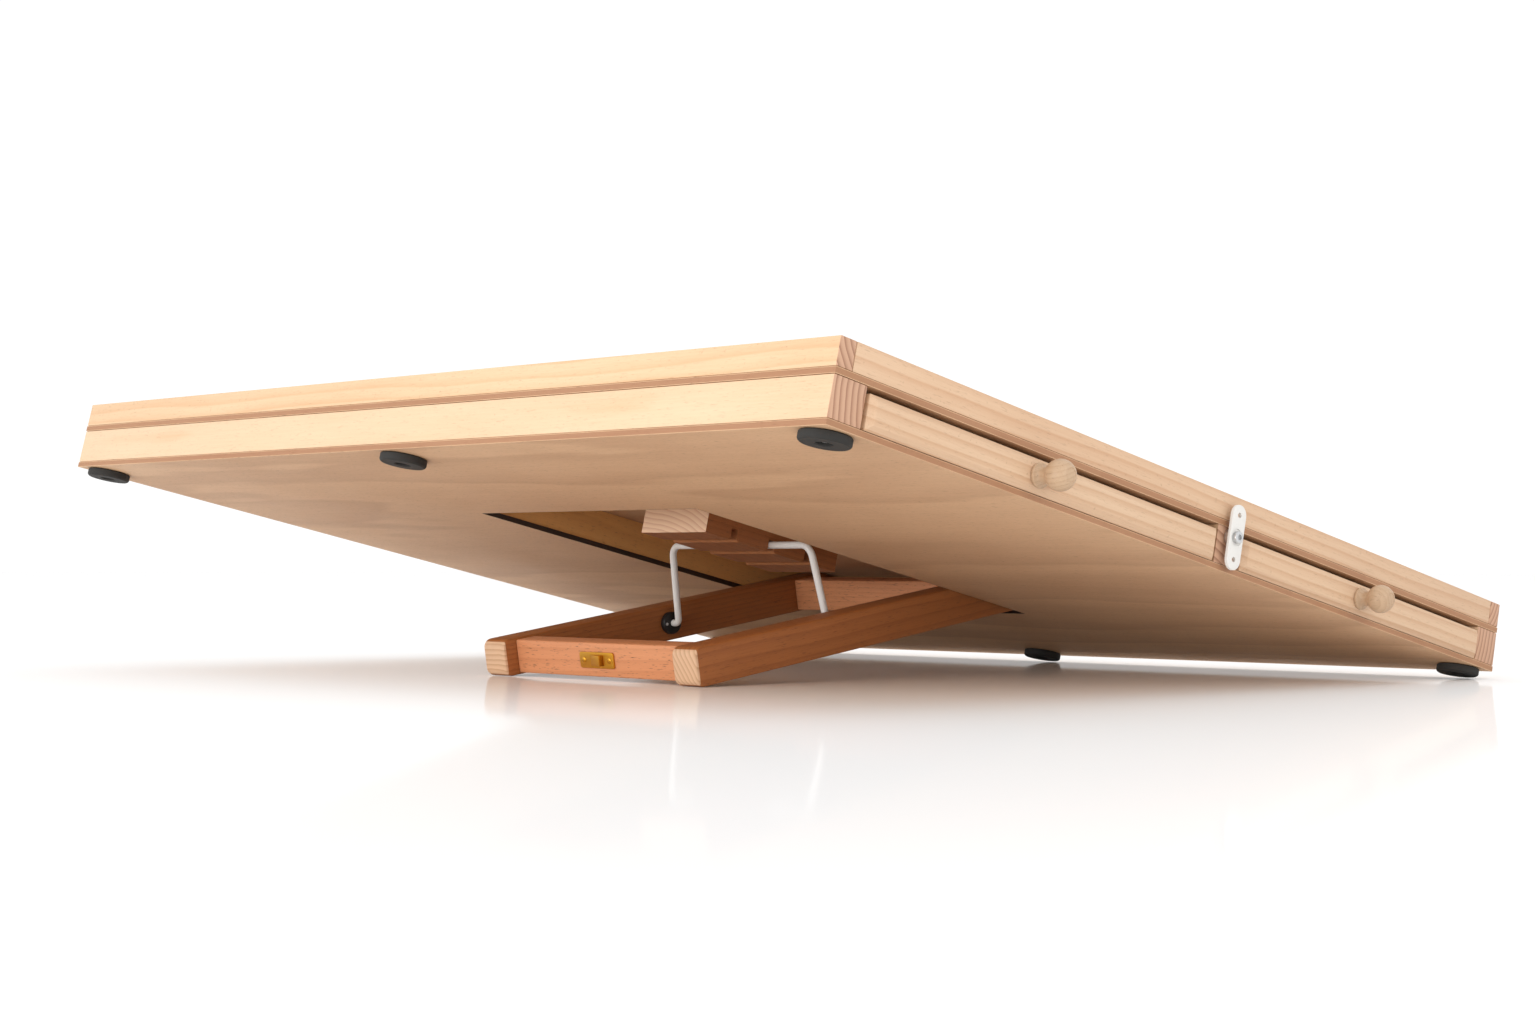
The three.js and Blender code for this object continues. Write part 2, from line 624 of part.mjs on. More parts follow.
// The brass catch, flat in X and Z, standing out of the rear bar towards -Y from y = 0.
function catchPlate() {
	const half = CATCH_WIDTH / 2;
	const tall = CATCH_HEIGHT / 2;
	const plate = blockBetween([-half, -CATCH_THICKNESS, -tall], [half, 0, tall]);
	const wedgeHalf = CATCH_WEDGE_HEIGHT / 2;
	const tip = -CATCH_THICKNESS - CATCH_WEDGE_RISE;
	const deep = -CATCH_THICKNESS / 2;
	const wedge = outline([
		[deep, -wedgeHalf],
		[tip, wedgeHalf - CATCH_WEDGE_TIP],
		[tip, wedgeHalf],
		[deep, wedgeHalf],
	]);
	const nose = alongX(extrudeCentred(wedge, CATCH_WEDGE_WIDTH));
	const heads = [-1, 1].map((side) => {
		const length = CATCH_THICKNESS / 2 + CATCH_SCREW_RISE;
		const head = new THREE.CylinderGeometry(CATCH_SCREW_RADIUS, CATCH_SCREW_RADIUS, length, 16);
		return head.translate(side * CATCH_SCREW_SPREAD, -CATCH_THICKNESS / 2 - length / 2, 0);
	});
	return joined(plate, nose, ...heads);
}

// The strike on the recess's rear wall, standing out towards +Y from y = 0, its nose at z = 0.
function catchStrike() {
	const half = CATCH_WIDTH / 2;
	const noseHalf = STRIKE_NOSE_WIDTH / 2;
	const low = STRIKE_NOSE_HEIGHT - CATCH_HEIGHT;
	const plate = blockBetween([-half, 0, low], [half, CATCH_THICKNESS, STRIKE_NOSE_HEIGHT]);
	const deep = CATCH_THICKNESS / 2;
	const nose = blockBetween([-noseHalf, deep, 0], [noseHalf, STRIKE_NOSE_REACH, STRIKE_NOSE_HEIGHT]);
	return joined(plate, nose);
}

// Adds the straight run up to a bend and the bend itself, from one corner point to the next.
function addBend(path, start, corner, next, radius) {
	const before = corner.clone().sub(start).normalize();
	const after = next.clone().sub(corner).normalize();
	const reach = radius * Math.tan(before.angleTo(after) / 2);
	const bendStart = corner.clone().addScaledVector(before, -reach);
	const bendEnd = corner.clone().addScaledVector(after, reach);
	path.add(new THREE.LineCurve3(start, bendStart));
	path.add(new THREE.QuadraticBezierCurve3(bendStart, corner, bendEnd));
	return bendEnd;
}

// The wire prop, with its top bar along X through the origin and its legs hanging down.
function propWire() {
	const tip = ARM_INSIDE - GLUE_GAP - BUSHING_THICKNESS - RUNNING_GAP;
	const low = tip - WIRE_FOOT_REACH;
	const top = low - WIRE_SPLAY;
	const corners = [
		[-tip, -WIRE_LENGTH],
		[-low, -WIRE_LENGTH],
		[-top, 0],
		[top, 0],
		[low, -WIRE_LENGTH],
		[tip, -WIRE_LENGTH],
	].map(([x, z]) => new THREE.Vector3(x, 0, z));
	const radii = [WIRE_FOOT_BEND, WIRE_TOP_BEND, WIRE_TOP_BEND, WIRE_FOOT_BEND];
	const path = new THREE.CurvePath();
	let start = corners[0];
	radii.forEach((radius, index) => {
		start = addBend(path, start, corners[index + 1], corners[index + 2], radius);
	});
	path.add(new THREE.LineCurve3(start, corners[5]));
	const round = new THREE.Shape();
	round.absarc(0, 0, WIRE_RADIUS, 0, 2 * Math.PI, false);
	return new THREE.ExtrudeGeometry(round, {
		steps: WIRE_STEPS,
		curveSegments: WIRE_SEGMENTS / 2,
		extrudePath: path,
	});
}

// The fixed board: panels, rims and rails.
const board = new THREE.Group();
addPiece(board, 'bottom_panel', bottomPanel(), PLY);
const worktop = blockBetween([-HALF_WIDTH, 0, WORKTOP_BOTTOM], [HALF_WIDTH, BOARD_DEPTH, RIM_BOTTOM]);
addPiece(board, 'worktop_panel', worktop, PLY);

const crossRim = alongX(extrudeCentred(rimOutline(), BOARD_WIDTH));
addPiece(board, 'rim_rear', crossRim, PINE, 0, RIM_THICKNESS / 2);
addPiece(board, 'rim_front', crossRim.clone(), PINE, 0, BOARD_DEPTH - RIM_THICKNESS / 2);
const sideRim = alongY(extrudeCentred(rimOutline(), BOARD_DEPTH - 2 * (RIM_THICKNESS + GLUE_GAP)));
sideRim.translate(HALF_WIDTH - RIM_THICKNESS / 2, 0, 0);
addPair(board, 'rim', sideRim, PINE, BOARD_DEPTH / 2);

const rail = blockBetween([-HALF_WIDTH, 0, SPACE_LOW], [HALF_WIDTH, RAIL_WIDTH, SPACE_HIGH]);
addPiece(board, 'rail_rear', rail, PINE_DARK);
addPiece(board, 'rail_front', rail.clone(), PINE_DARK, 0, BOARD_DEPTH - RAIL_WIDTH);
addPair(board, 'divider', divider(), PINE_DARK);

// Walls round the stand's recess, the ratchet board and the hinge bolts.
addPair(board, 'recess_wall', recessSideWall(), PLY);
const wallHalf = RECESS_HALF - GLUE_GAP;
const endWall = blockBetween([-wallHalf, 0, SPACE_LOW], [wallHalf, RECESS_WALL, SPACE_HIGH]);
addPiece(board, 'recess_wall_rear', endWall, PLY, 0, RECESS_REAR - RECESS_WALL);
addPiece(board, 'recess_wall_front', endWall.clone(), PLY, 0, RECESS_FRONT);
const ratchet = alongX(extrudeCentred(ratchetOutline(), RATCHET_WIDTH));
addPiece(board, 'ratchet_board', ratchet, BEECH);
addPair(board, 'hinge_bolt', hingeBolt(), STEEL, HINGE_Y, HINGE_Z);
const strikeZ = SPACE_HIGH - STRIKE_NOSE_HEIGHT - GLUE_GAP;
addPiece(board, 'catch_strike', catchStrike(), BRASS, 0, RECESS_REAR + GLUE_GAP, strikeZ);

// Feet, one under each end and the middle of the rear and the front.
for (const [end, y] of [['rear', FOOT_END_INSET], ['front', BOARD_DEPTH - FOOT_END_INSET]]) {
	const sideX = HALF_WIDTH - FOOT_SIDE_INSET;
	addPiece(board, `foot_${end}_left`, foot(), RUBBER, -sideX, y);
	addPiece(board, `foot_${end}_middle`, foot(), RUBBER, 0, y);
	addPiece(board, `foot_${end}_right`, foot(), RUBBER, sideX, y);
}

// Turn buttons on the dividers' ends.
const plate = buttonPlate().translate(HALF_WIDTH + BUTTON_STANDOFF, 0, 0);
addPair(board, 'turn_plate', plate, WHITE_METAL, DIVIDER_CENTRE, BUTTON_Z);
const screw = buttonScrew().translate(HALF_WIDTH, 0, 0);
addPair(board, 'turn_screw', screw, STEEL, DIVIDER_CENTRE, BUTTON_Z);

// Drawers, between the rails and the dividers.
const rearBay = [RAIL_WIDTH, DIVIDER_CENTRE - DIVIDER_WIDTH / 2];
const frontBay = [DIVIDER_CENTRE + DIVIDER_WIDTH / 2, BOARD_DEPTH - RAIL_WIDTH];
for (const [word, side] of [['right', 1], ['left', -1]]) {
	board.add(drawer(`drawer_${word}_rear`, side, ...rearBay, REAR_KNOB_OFFSET));
	board.add(drawer(`drawer_${word}_front`, side, ...frontBay, FRONT_KNOB_OFFSET));
}

// The stand, hinged in the recess and swung down from the board.
const stand = new THREE.Group();
stand.position.set(0, HINGE_Y, HINGE_Z);
stand.rotation.x = STAND_ANGLE;
const arm = standArm().translate((ARM_OUTSIDE + ARM_INSIDE) / 2, 0, 0);
addPair(stand, 'stand_arm', arm, BEECH);
const rearBarFace = REAR_BAR_SETBACK - ARM_REACH;
const rearBarY = rearBarFace + REAR_BAR_THICKNESS / 2;
addPiece(stand, 'stand_bar_rear', standBar(REAR_BAR_THICKNESS), BEECH, 0, rearBarY);
const frontBarY = -FRONT_BAR_SETBACK - FRONT_BAR_THICKNESS / 2;
addPiece(stand, 'stand_bar_front', standBar(FRONT_BAR_THICKNESS), BEECH, 0, frontBarY);
addPair(stand, 'wire_bushing', wireBushing(), BLACK_PLASTIC, -BUSHING_FROM_HINGE);
addPiece(stand, 'catch_plate', catchPlate(), BRASS, 0, rearBarFace - GLUE_GAP);
board.add(stand);

// The wire prop, its top bar in a slot of the ratchet and its feet at the bushings.
const prop = new THREE.Group();
prop.position.set(0, TOP_BAR_Y, TOP_BAR_Z);
prop.rotation.x = WIRE_ANGLE;
addPiece(prop, 'prop_wire', propWire(), WHITE_COAT);
board.add(prop);

// The tilted board stands on z = 0 with its middle over the origin.
const puzzleBoard = new THREE.Group();
board.rotation.x = -BOARD_TILT;
puzzleBoard.add(board);
puzzleBoard.updateMatrixWorld(true);
const extent = new THREE.Box3().setFromObject(puzzleBoard, true);
const centre = extent.getCenter(new THREE.Vector3());
board.position.set(-centre.x, -centre.y, -extent.min.z);

export default puzzleBoard;
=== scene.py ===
# %% [markdown]
# # A jigsaw board on its stand
#
# The object is a wooden board for large jigsaw puzzles. A rim keeps the pieces on the worktop,
# slim drawers slide out of both sides, and a stand under the board tilts it towards the user.
# The exact solids come from a frame that is already built, and this lesson gives them their
# looks. Some solids only get a finish. Others, whose rounded edges or turned shapes catch the
# light, are modelled again here and take the place of the plain solid.

# %% Load the frame
import json
import math

import bpy
from mathutils import Matrix, Vector

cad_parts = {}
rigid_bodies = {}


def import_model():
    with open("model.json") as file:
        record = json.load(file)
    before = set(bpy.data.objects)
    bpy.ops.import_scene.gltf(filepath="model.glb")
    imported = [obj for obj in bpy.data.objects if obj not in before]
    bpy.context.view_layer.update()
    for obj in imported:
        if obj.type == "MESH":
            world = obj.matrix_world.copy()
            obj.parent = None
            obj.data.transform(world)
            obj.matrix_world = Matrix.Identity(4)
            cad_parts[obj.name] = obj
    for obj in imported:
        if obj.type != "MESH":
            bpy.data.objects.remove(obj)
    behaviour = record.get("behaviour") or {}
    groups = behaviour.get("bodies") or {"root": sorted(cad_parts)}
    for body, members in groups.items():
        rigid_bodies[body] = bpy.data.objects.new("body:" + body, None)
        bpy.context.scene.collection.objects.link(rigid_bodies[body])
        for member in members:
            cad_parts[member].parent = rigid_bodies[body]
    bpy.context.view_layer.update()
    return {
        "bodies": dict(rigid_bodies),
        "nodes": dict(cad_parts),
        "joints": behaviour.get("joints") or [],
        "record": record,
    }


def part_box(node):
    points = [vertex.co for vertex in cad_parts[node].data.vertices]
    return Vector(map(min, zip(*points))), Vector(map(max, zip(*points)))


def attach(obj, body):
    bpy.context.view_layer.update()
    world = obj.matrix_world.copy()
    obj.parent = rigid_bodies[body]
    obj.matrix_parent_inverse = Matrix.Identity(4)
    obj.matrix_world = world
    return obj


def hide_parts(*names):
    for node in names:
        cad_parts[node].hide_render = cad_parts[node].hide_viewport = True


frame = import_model()
nodes = frame["nodes"]
record = frame["record"]
joints = {joint["name"]: joint for joint in frame["joints"]}

# %% [markdown]
# ## Straight directions on a tilted board
#
# Nothing on this board is level: the board slopes down to the front and the stand slopes down to
# the rear. It is far easier to model a piece straight and lean it afterwards. All the slopes are
# turns about the left-to-right axis, so one angle describes each of them. The board's slope comes
# from the upward direction of its rim, and the stand's slope from a line through its two bars.

# %% Measure the slopes
rim_up = Vector(record["mounts"][0]["axis"])
BOARD_TURN = math.atan2(rim_up.y, rim_up.z)


def middle(name):
    low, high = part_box(name)
    return (low + high) / 2


reach = middle("stand_bar_rear") - middle("stand_bar_front")
STAND_TURN = -math.atan2(-reach.z, -reach.y)
print("board slopes", round(math.degrees(BOARD_TURN), 2), "degrees")
print("stand slopes", round(math.degrees(STAND_TURN), 2), "degrees")


# %% Measure a solid along the board's or the stand's own directions
def straight_box(name, turn):
    straighten = Matrix.Rotation(turn, 3, "X")
    points = [straighten @ vertex.co for vertex in nodes[name].data.vertices]
    low = Vector([min(point[axis] for point in points) for axis in range(3)])
    high = Vector([max(point[axis] for point in points) for axis in range(3)])
    return low, high


low, high = straight_box("worktop_panel", BOARD_TURN)
print("the worktop measures", [round(size * 1000, 1) for size in high - low], "mm")

# %% [markdown]
# ## Tools for modelling by hand
#
# Every new piece starts from a primitive at its real size and place. Then faces or edges are
# picked by where they lie, and an edit-mode operator shapes them. The helpers below keep each
# piece's own cell short. They start a block or a turned shape, pick edges, carve, copy and mirror,
# and finish a piece, which means leaning it, naming it and hanging it on the body of the frame
# that it moves with.

# %% Start a block, and pick its faces and edges
def select_only(piece):
    bpy.ops.object.select_all(action="DESELECT")
    piece.select_set(True)
    bpy.context.view_layer.objects.active = piece


def start_block(low, high):
    bpy.ops.object.select_all(action="DESELECT")
    bpy.ops.mesh.primitive_cube_add(size=1, location=(low + high) / 2, scale=high - low)
    bpy.ops.object.transform_apply(location=True, rotation=True, scale=True)
    return bpy.context.object


def pick(piece, kind, wanted):
    """Selects the faces or edges that wanted accepts, and leaves the piece in edit mode."""
    select_only(piece)
    bpy.ops.object.mode_set(mode="EDIT")
    bpy.context.tool_settings.mesh_select_mode = (False, kind == "edge", kind == "face")
    bpy.ops.mesh.select_all(action="DESELECT")
    bpy.ops.object.mode_set(mode="OBJECT")
    mesh = piece.data
    if kind == "face":
        for face in mesh.polygons:
            face.select = wanted(face.center, face.normal)
    else:
        for edge in mesh.edges:
            start, end = (mesh.vertices[index].co for index in edge.vertices)
            edge.select = wanted(start, end)
    bpy.ops.object.mode_set(mode="EDIT")


def bevel_edges(piece, wanted, offset, segments):
    pick(piece, "edge", wanted)
    bpy.ops.mesh.bevel(offset=offset, segments=segments, affect="EDGES")
    bpy.ops.object.mode_set(mode="OBJECT")


def level(start, end, axis, value, near=1e-5):
    """True when both ends of an edge lie at one value along an axis."""
    return abs(start[axis] - value) < near and abs(end[axis] - value) < near


def spans(start, end, axis, least=1e-4):
    """True when an edge runs some way along an axis."""
    return abs(start[axis] - end[axis]) > least


NEARLY_ROUND = 0.995  # a corner bevel just short of half the width, so no edge collapses
print("block tools ready")


# %% Start a turned shape, and carve one piece with another
def start_turned(stations, place, sides=48, axis="X"):
    """A body of revolution from (distance, radius) stations along an axis from a place."""
    bpy.ops.object.select_all(action="DESELECT")
    along = {"X": Vector((1, 0, 0)), "Y": Vector((0, 1, 0)), "Z": Vector((0, 0, 1))}[axis]
    turns = {"X": (0, math.pi / 2, 0), "Y": (-math.pi / 2, 0, 0), "Z": (0, 0, 0)}
    first, radius = stations[0]
    bpy.ops.mesh.primitive_circle_add(
        vertices=sides, radius=radius, fill_type="NGON",
        location=place + along * first, rotation=turns[axis])
    bpy.ops.object.transform_apply(location=True, rotation=True, scale=True)
    piece = bpy.context.object
    bpy.ops.object.mode_set(mode="EDIT")
    bpy.ops.mesh.select_all(action="SELECT")
    for before, after in zip(stations, stations[1:]):
        step = along * (after[0] - before[0])
        bpy.ops.mesh.extrude_region_move(TRANSFORM_OT_translate={"value": step})
        size = after[1] / before[1]
        keep = {"X": (1, size, size), "Y": (size, 1, size), "Z": (size, size, 1)}[axis]
        bpy.ops.transform.resize(value=keep, center_override=place + along * after[0])
    bpy.ops.mesh.select_all(action="SELECT")
    bpy.ops.mesh.normals_make_consistent(inside=False)
    bpy.ops.object.mode_set(mode="OBJECT")
    return piece


def carve(piece, cutter):
    """Cuts one piece out of another and throws the cutter away."""
    select_only(piece)
    cut = piece.modifiers.new("cut", "BOOLEAN")
    cut.operation = "DIFFERENCE"
    cut.solver = "EXACT"
    cut.object = cutter
    bpy.ops.object.modifier_apply(modifier="cut")
    bpy.data.objects.remove(cutter)


def join(*pieces):
    """Makes one object of several and returns it."""
    select_only(pieces[0])
    for piece in pieces:
        piece.select_set(True)
    bpy.ops.object.join()
    return bpy.context.object


print("turning and carving tools ready")


# %% Copy, mirror, lean and hang a finished piece
def copy_moved(piece, shift=(0, 0, 0)):
    twin = piece.copy()
    twin.data = piece.data.copy()
    bpy.context.scene.collection.objects.link(twin)
    twin.data.transform(Matrix.Translation(shift))
    return twin


def copy_mirrored(piece):
    """A copy from the right side for the left side, its faces still pointing outwards."""
    twin = copy_moved(piece)
    select_only(twin)
    twin.scale.x = -1
    bpy.ops.object.transform_apply(location=True, rotation=True, scale=True)
    bpy.ops.object.mode_set(mode="EDIT")
    bpy.ops.mesh.select_all(action="SELECT")
    bpy.ops.mesh.normals_make_consistent(inside=False)
    bpy.ops.object.mode_set(mode="OBJECT")
    return twin


SMOOTH_BELOW = math.radians(32)  # faces that meet at less than this are shaded as one surface


def hang(piece, name, turn, body, material, slot, *replaced):
    """Leans, names and finishes a piece, and hangs it on the body that it moves with."""
    select_only(piece)
    bpy.ops.object.transform_apply(location=True, rotation=True, scale=True)
    piece.rotation_euler.x = -turn
    bpy.ops.object.transform_apply(location=True, rotation=True, scale=True)
    bpy.ops.object.shade_smooth_by_angle(angle=SMOOTH_BELOW)
    piece.name = name
    piece.data.name = name
    piece.data.materials.clear()
    piece.data.materials.append(material)
    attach(piece, body)
    if replaced:
        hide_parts(*replaced)


def hang_pair(piece, solid, ending, turn, body, material, slot):
    """Hangs a piece in place of its right-hand solid, and a mirror image on the left."""
    for side, half in (("right", piece), ("left", copy_mirrored(piece))):
        name = solid.replace("right", side)
        hang(half, name + ending, turn, body.replace("right", side), material, slot, name)


def finish_solid(name, material):
    """Gives a frame solid a finish without touching its shape."""
    solid = nodes[name]
    if not solid.material_slots:
        solid.data.materials.append(material)
    for place in solid.material_slots:
        place.material = material


print("finishing tools ready")

# %% [markdown]
# ## The camera, the floor and the light
#
# The board is seen from low down at its rear right corner, so the underside and the stand show.
# A fairly long lens keeps the rear edge and the right side in believable proportion. The floor
# is a matte white sheet with a faint polish over it. The sky gives an even white light, and two
# large soft lamps, one behind and one at the right, give the faces different brightness.

# %% Camera
camera_data = bpy.data.cameras.new("camera")
camera_data.lens = 56.232
camera_data.sensor_width = 36
camera_data.shift_x = -0.15
camera_data.clip_start = 0.05
camera_data.clip_end = 100
camera = bpy.data.objects.new("camera", camera_data)
camera.location = (1.4226, -1.2481, 0.0860)
camera.rotation_euler = [math.radians(angle) for angle in (91.246, -0.126, 43.293)]
bpy.context.scene.collection.objects.link(camera)
bpy.context.scene.camera = camera
print("camera stands", [round(value, 3) for value in camera.location])


# %% Colours written as hex
def paint(code):
    """A hex colour as the linear numbers that shader sockets hold."""
    parts = [int(code[start:start + 2], 16) / 255 for start in (1, 3, 5)]
    linear = [part / 12.92 if part <= 0.04045 else ((part + 0.055) / 1.055) ** 2.4
              for part in parts]
    return (*linear, 1.0)


def new_material(name):
    material = bpy.data.materials.new(name)
    material.use_nodes = True
    tree = material.node_tree
    return material, tree, tree.nodes["Principled BSDF"]


def add(tree, kind, **settings):
    node = tree.nodes.new(kind)
    for key, value in settings.items():
        setattr(node, key, value)
    return node


print("pine is", [round(part, 3) for part in paint("#e9c99c")])

# %% Floor
FLOOR_WHITE = (0.97, 0.97, 0.97, 1)
FLOOR_DROP = 0.0004  # keeps the feet and the floor from sharing a plane
POLISHED_SHARE = 0.4
bpy.ops.object.select_all(action="DESELECT")
bpy.ops.mesh.primitive_plane_add(size=40, location=(0, 0, -FLOOR_DROP))
floor = bpy.context.object
floor.name = "floor"
floor_finish, tree, shader = new_material("floor_white")
shader.inputs["Base Color"].default_value = FLOOR_WHITE
shader.inputs["Roughness"].default_value = 0.9
shader.inputs["Specular IOR Level"].default_value = 0
polish = add(tree, "ShaderNodeBsdfPrincipled")
polish.inputs["Base Color"].default_value = FLOOR_WHITE
polish.inputs["Roughness"].default_value = 0.07
sheen = add(tree, "ShaderNodeMixShader")
sheen.inputs[0].default_value = POLISHED_SHARE
tree.links.new(shader.outputs[0], sheen.inputs[1])
tree.links.new(polish.outputs[0], sheen.inputs[2])
tree.links.new(sheen.outputs[0], tree.nodes["Material Output"].inputs["Surface"])
speckle = add(tree, "ShaderNodeTexNoise")
speckle.inputs["Scale"].default_value = 900
rise = add(tree, "ShaderNodeBump")
rise.inputs["Strength"].default_value = 0.02
rise.inputs["Distance"].default_value = 0.0002
tree.links.new(speckle.outputs["Fac"], rise.inputs["Height"])
tree.links.new(rise.outputs["Normal"], polish.inputs["Normal"])
floor.data.materials.append(floor_finish)
print("floor laid")

# %% Light
world = bpy.data.worlds.new("studio")
world.use_nodes = True
world.node_tree.nodes["Background"].inputs["Color"].default_value = (1, 1, 1, 1)
world.node_tree.nodes["Background"].inputs["Strength"].default_value = 1.05
bpy.context.scene.world = world
bpy.context.scene.view_settings.view_transform = "Standard"


def soft_lamp(name, place, aim, size, power):
    """A rectangular lamp that lights and reflects but doesn't show itself."""
    data = bpy.data.lights.new(name, "AREA")
    data.shape = "RECTANGLE"
    data.size, data.size_y = size
    data.energy = power
    lamp = bpy.data.objects.new(name, data)
    lamp.location = place
    lamp.rotation_euler = (Vector(aim) - Vector(place)).to_track_quat("-Z", "Y").to_euler()
    lamp.visible_camera = False
    bpy.context.scene.collection.objects.link(lamp)


soft_lamp("lamp_rear", (0.1, -2.5, 0.42), (0, 0, 0.06), (2.4, 0.8), 24)
soft_lamp("lamp_right", (2.6, -0.4, 0.9), (0.3, 0, 0.1), (1.6, 1.4), 10)
print("world and lamps lit")

# %% [markdown]
# ## Wood that is the same inside and out
#
# Solid wood is a stack of yearly rings. If the rings are drawn in space, and not on a surface,
# a board cut from them shows long lines on its faces and arcs on its ends without any extra work.
# The group below does this along its first axis. It puts out the rings, the fine fibres, the
# small dark pores and a height, and each wood chooses its own amounts and colours.

# %% Shader group: grain of solid wood
def group_socket(group, name, direction, kind="NodeSocketFloat", value=None):
    socket = group.interface.new_socket(name=name, in_out=direction, socket_type=kind)
    if value is not None:
        socket.default_value = value


def math_node(tree, operation, first, second=None, third=None):
    node = add(tree, "ShaderNodeMath", operation=operation)
    for place, value in enumerate((first, second, third)):
        if value is None:
            continue
        if isinstance(value, (int, float)):
            node.inputs[place].default_value = value
        else:
            tree.links.new(value, node.inputs[place])
    return node.outputs[0]


def stretched_noise(tree, vector, stretch, detail=2.0, rough=0.5):
    """Noise on coordinates that are multiplied by three numbers."""
    scaled = add(tree, "ShaderNodeVectorMath", operation="MULTIPLY")
    tree.links.new(vector, scaled.inputs[0])
    scaled.inputs[1].default_value = stretch
    noise = add(tree, "ShaderNodeTexNoise")
    noise.inputs["Scale"].default_value = 1
    noise.inputs["Detail"].default_value = detail
    noise.inputs["Roughness"].default_value = rough
    tree.links.new(scaled.outputs[0], noise.inputs["Vector"])
    return noise.outputs["Fac"]


def rise_over(tree, value, threshold, gain):
    """How far a value rises over a threshold, times a gain, and nothing below it."""
    excess = math_node(tree, "SUBTRACT", value, threshold)
    return math_node(tree, "MULTIPLY", math_node(tree, "MAXIMUM", excess, 0.0), gain)


RIPPLE = 0.0012  # metres by which the fine waves move a ring
grain = bpy.data.node_groups.new("grain", "ShaderNodeTree")
group_socket(grain, "Vector", "INPUT", "NodeSocketVector")
group_socket(grain, "Ring Width", "INPUT", value=0.006)
group_socket(grain, "Wander", "INPUT", value=0.01)
group_socket(grain, "Sharpness", "INPUT", value=2.5)
for name in ("Ring", "Fibre", "Pores", "Tone", "Height"):
    group_socket(grain, name, "OUTPUT")
enter = add(grain, "NodeGroupInput")
leave = add(grain, "NodeGroupOutput")
split = add(grain, "ShaderNodeSeparateXYZ")
vector = enter.outputs["Vector"]
grain.links.new(vector, split.inputs[0])
across, up = split.outputs[1], split.outputs[2]
bend = math_node(grain, "SUBTRACT", stretched_noise(grain, vector, (2.2, 14, 14), 2), 0.5)
ripple = math_node(grain, "SUBTRACT", stretched_noise(grain, vector, (9, 70, 70), 3), 0.5)
square = math_node(grain, "ADD", math_node(grain, "MULTIPLY", across, across),
                   math_node(grain, "MULTIPLY", up, up))
radius = math_node(grain, "SQRT", square)
radius = math_node(grain, "MULTIPLY_ADD", bend, enter.outputs["Wander"], radius)
radius = math_node(grain, "MULTIPLY_ADD", ripple, RIPPLE, radius)
rings = math_node(grain, "DIVIDE", radius, enter.outputs["Ring Width"])
phase = math_node(grain, "FRACT", rings)
late = math_node(grain, "POWER", phase, enter.outputs["Sharpness"])
rest = math_node(grain, "SUBTRACT", 1.0, phase)
edge = math_node(grain, "SMOOTH_MIN", 1.0, math_node(grain, "MULTIPLY", rest, 9.0), 0.15)
ring = math_node(grain, "MULTIPLY", late, edge)
fibre = stretched_noise(grain, vector, (26, 900, 900), 3, 0.6)
pores = rise_over(grain, stretched_noise(grain, vector, (160, 1500, 1500), 1), 0.62, 6.0)
tone = stretched_noise(grain, vector, (3, 22, 22), 2)
height = math_node(grain, "MULTIPLY_ADD", ring, 0.5, math_node(grain, "MULTIPLY", fibre, 0.5))
height = math_node(grain, "MULTIPLY_ADD", pores, -0.6, height)
outputs = {"Ring": ring, "Fibre": fibre, "Pores": pores, "Tone": tone, "Height": height}
for name, value in outputs.items():
    grain.links.new(value, leave.inputs[name])
print("grain group has", len(grain.nodes), "nodes")

# %% [markdown]
# ## Signs of handling
#
# No surface is perfectly even. A shared group lays a faint, slow cloudiness and some tiny specks
# over any finish, and each material decides how much of it darkens the colour or dulls the gloss.

# %% Shader group: handling marks
marks = bpy.data.node_groups.new("handling_marks", "ShaderNodeTree")
group_socket(marks, "Vector", "INPUT", "NodeSocketVector")
group_socket(marks, "Cloud", "OUTPUT")
group_socket(marks, "Specks", "OUTPUT")
enter = add(marks, "NodeGroupInput")
leave = add(marks, "NodeGroupOutput")
vector = enter.outputs["Vector"]
cloud = stretched_noise(marks, vector, (11, 11, 11), 4, 0.55)
specks = rise_over(marks, stretched_noise(marks, vector, (420, 420, 420), 1), 0.7, 8.0)
marks.links.new(cloud, leave.inputs["Cloud"])
marks.links.new(specks, leave.inputs["Specks"])
print("marks group has", len(marks.nodes), "nodes")


# %% Helpers that lay out a material
def object_vector(tree, turn=0.0, spin=0.0, shift=(0, 0, 0)):
    """Object coordinates, straightened by turn, then spun about the upright, then shifted."""
    source = add(tree, "ShaderNodeTexCoord")
    mapping = add(tree, "ShaderNodeMapping")
    mapping.inputs["Rotation"].default_value = (turn, 0, spin)
    mapping.inputs["Location"].default_value = shift
    tree.links.new(source.outputs["Object"], mapping.inputs["Vector"])
    return mapping.outputs["Vector"]


def use_group(tree, group, vector, **values):
    node = add(tree, "ShaderNodeGroup")
    node.node_tree = group
    tree.links.new(vector, node.inputs["Vector"])
    for name, value in values.items():
        node.inputs[name.replace("_", " ")].default_value = value
    return node


def blend(tree, amount, first, second, mode="MIX"):
    node = add(tree, "ShaderNodeMix", data_type="RGBA", blend_type=mode)
    for place, value in ((0, amount), (6, first), (7, second)):
        if isinstance(value, (int, float, tuple)):
            node.inputs[place].default_value = value
        else:
            tree.links.new(value, node.inputs[place])
    return node.outputs[2]


def tint(tree, colour, mask, amount, code, mode="MIX"):
    """Lays a hex colour over another colour, by a share of a mask."""
    return blend(tree, math_node(tree, "MULTIPLY", mask, amount), colour, paint(code), mode)


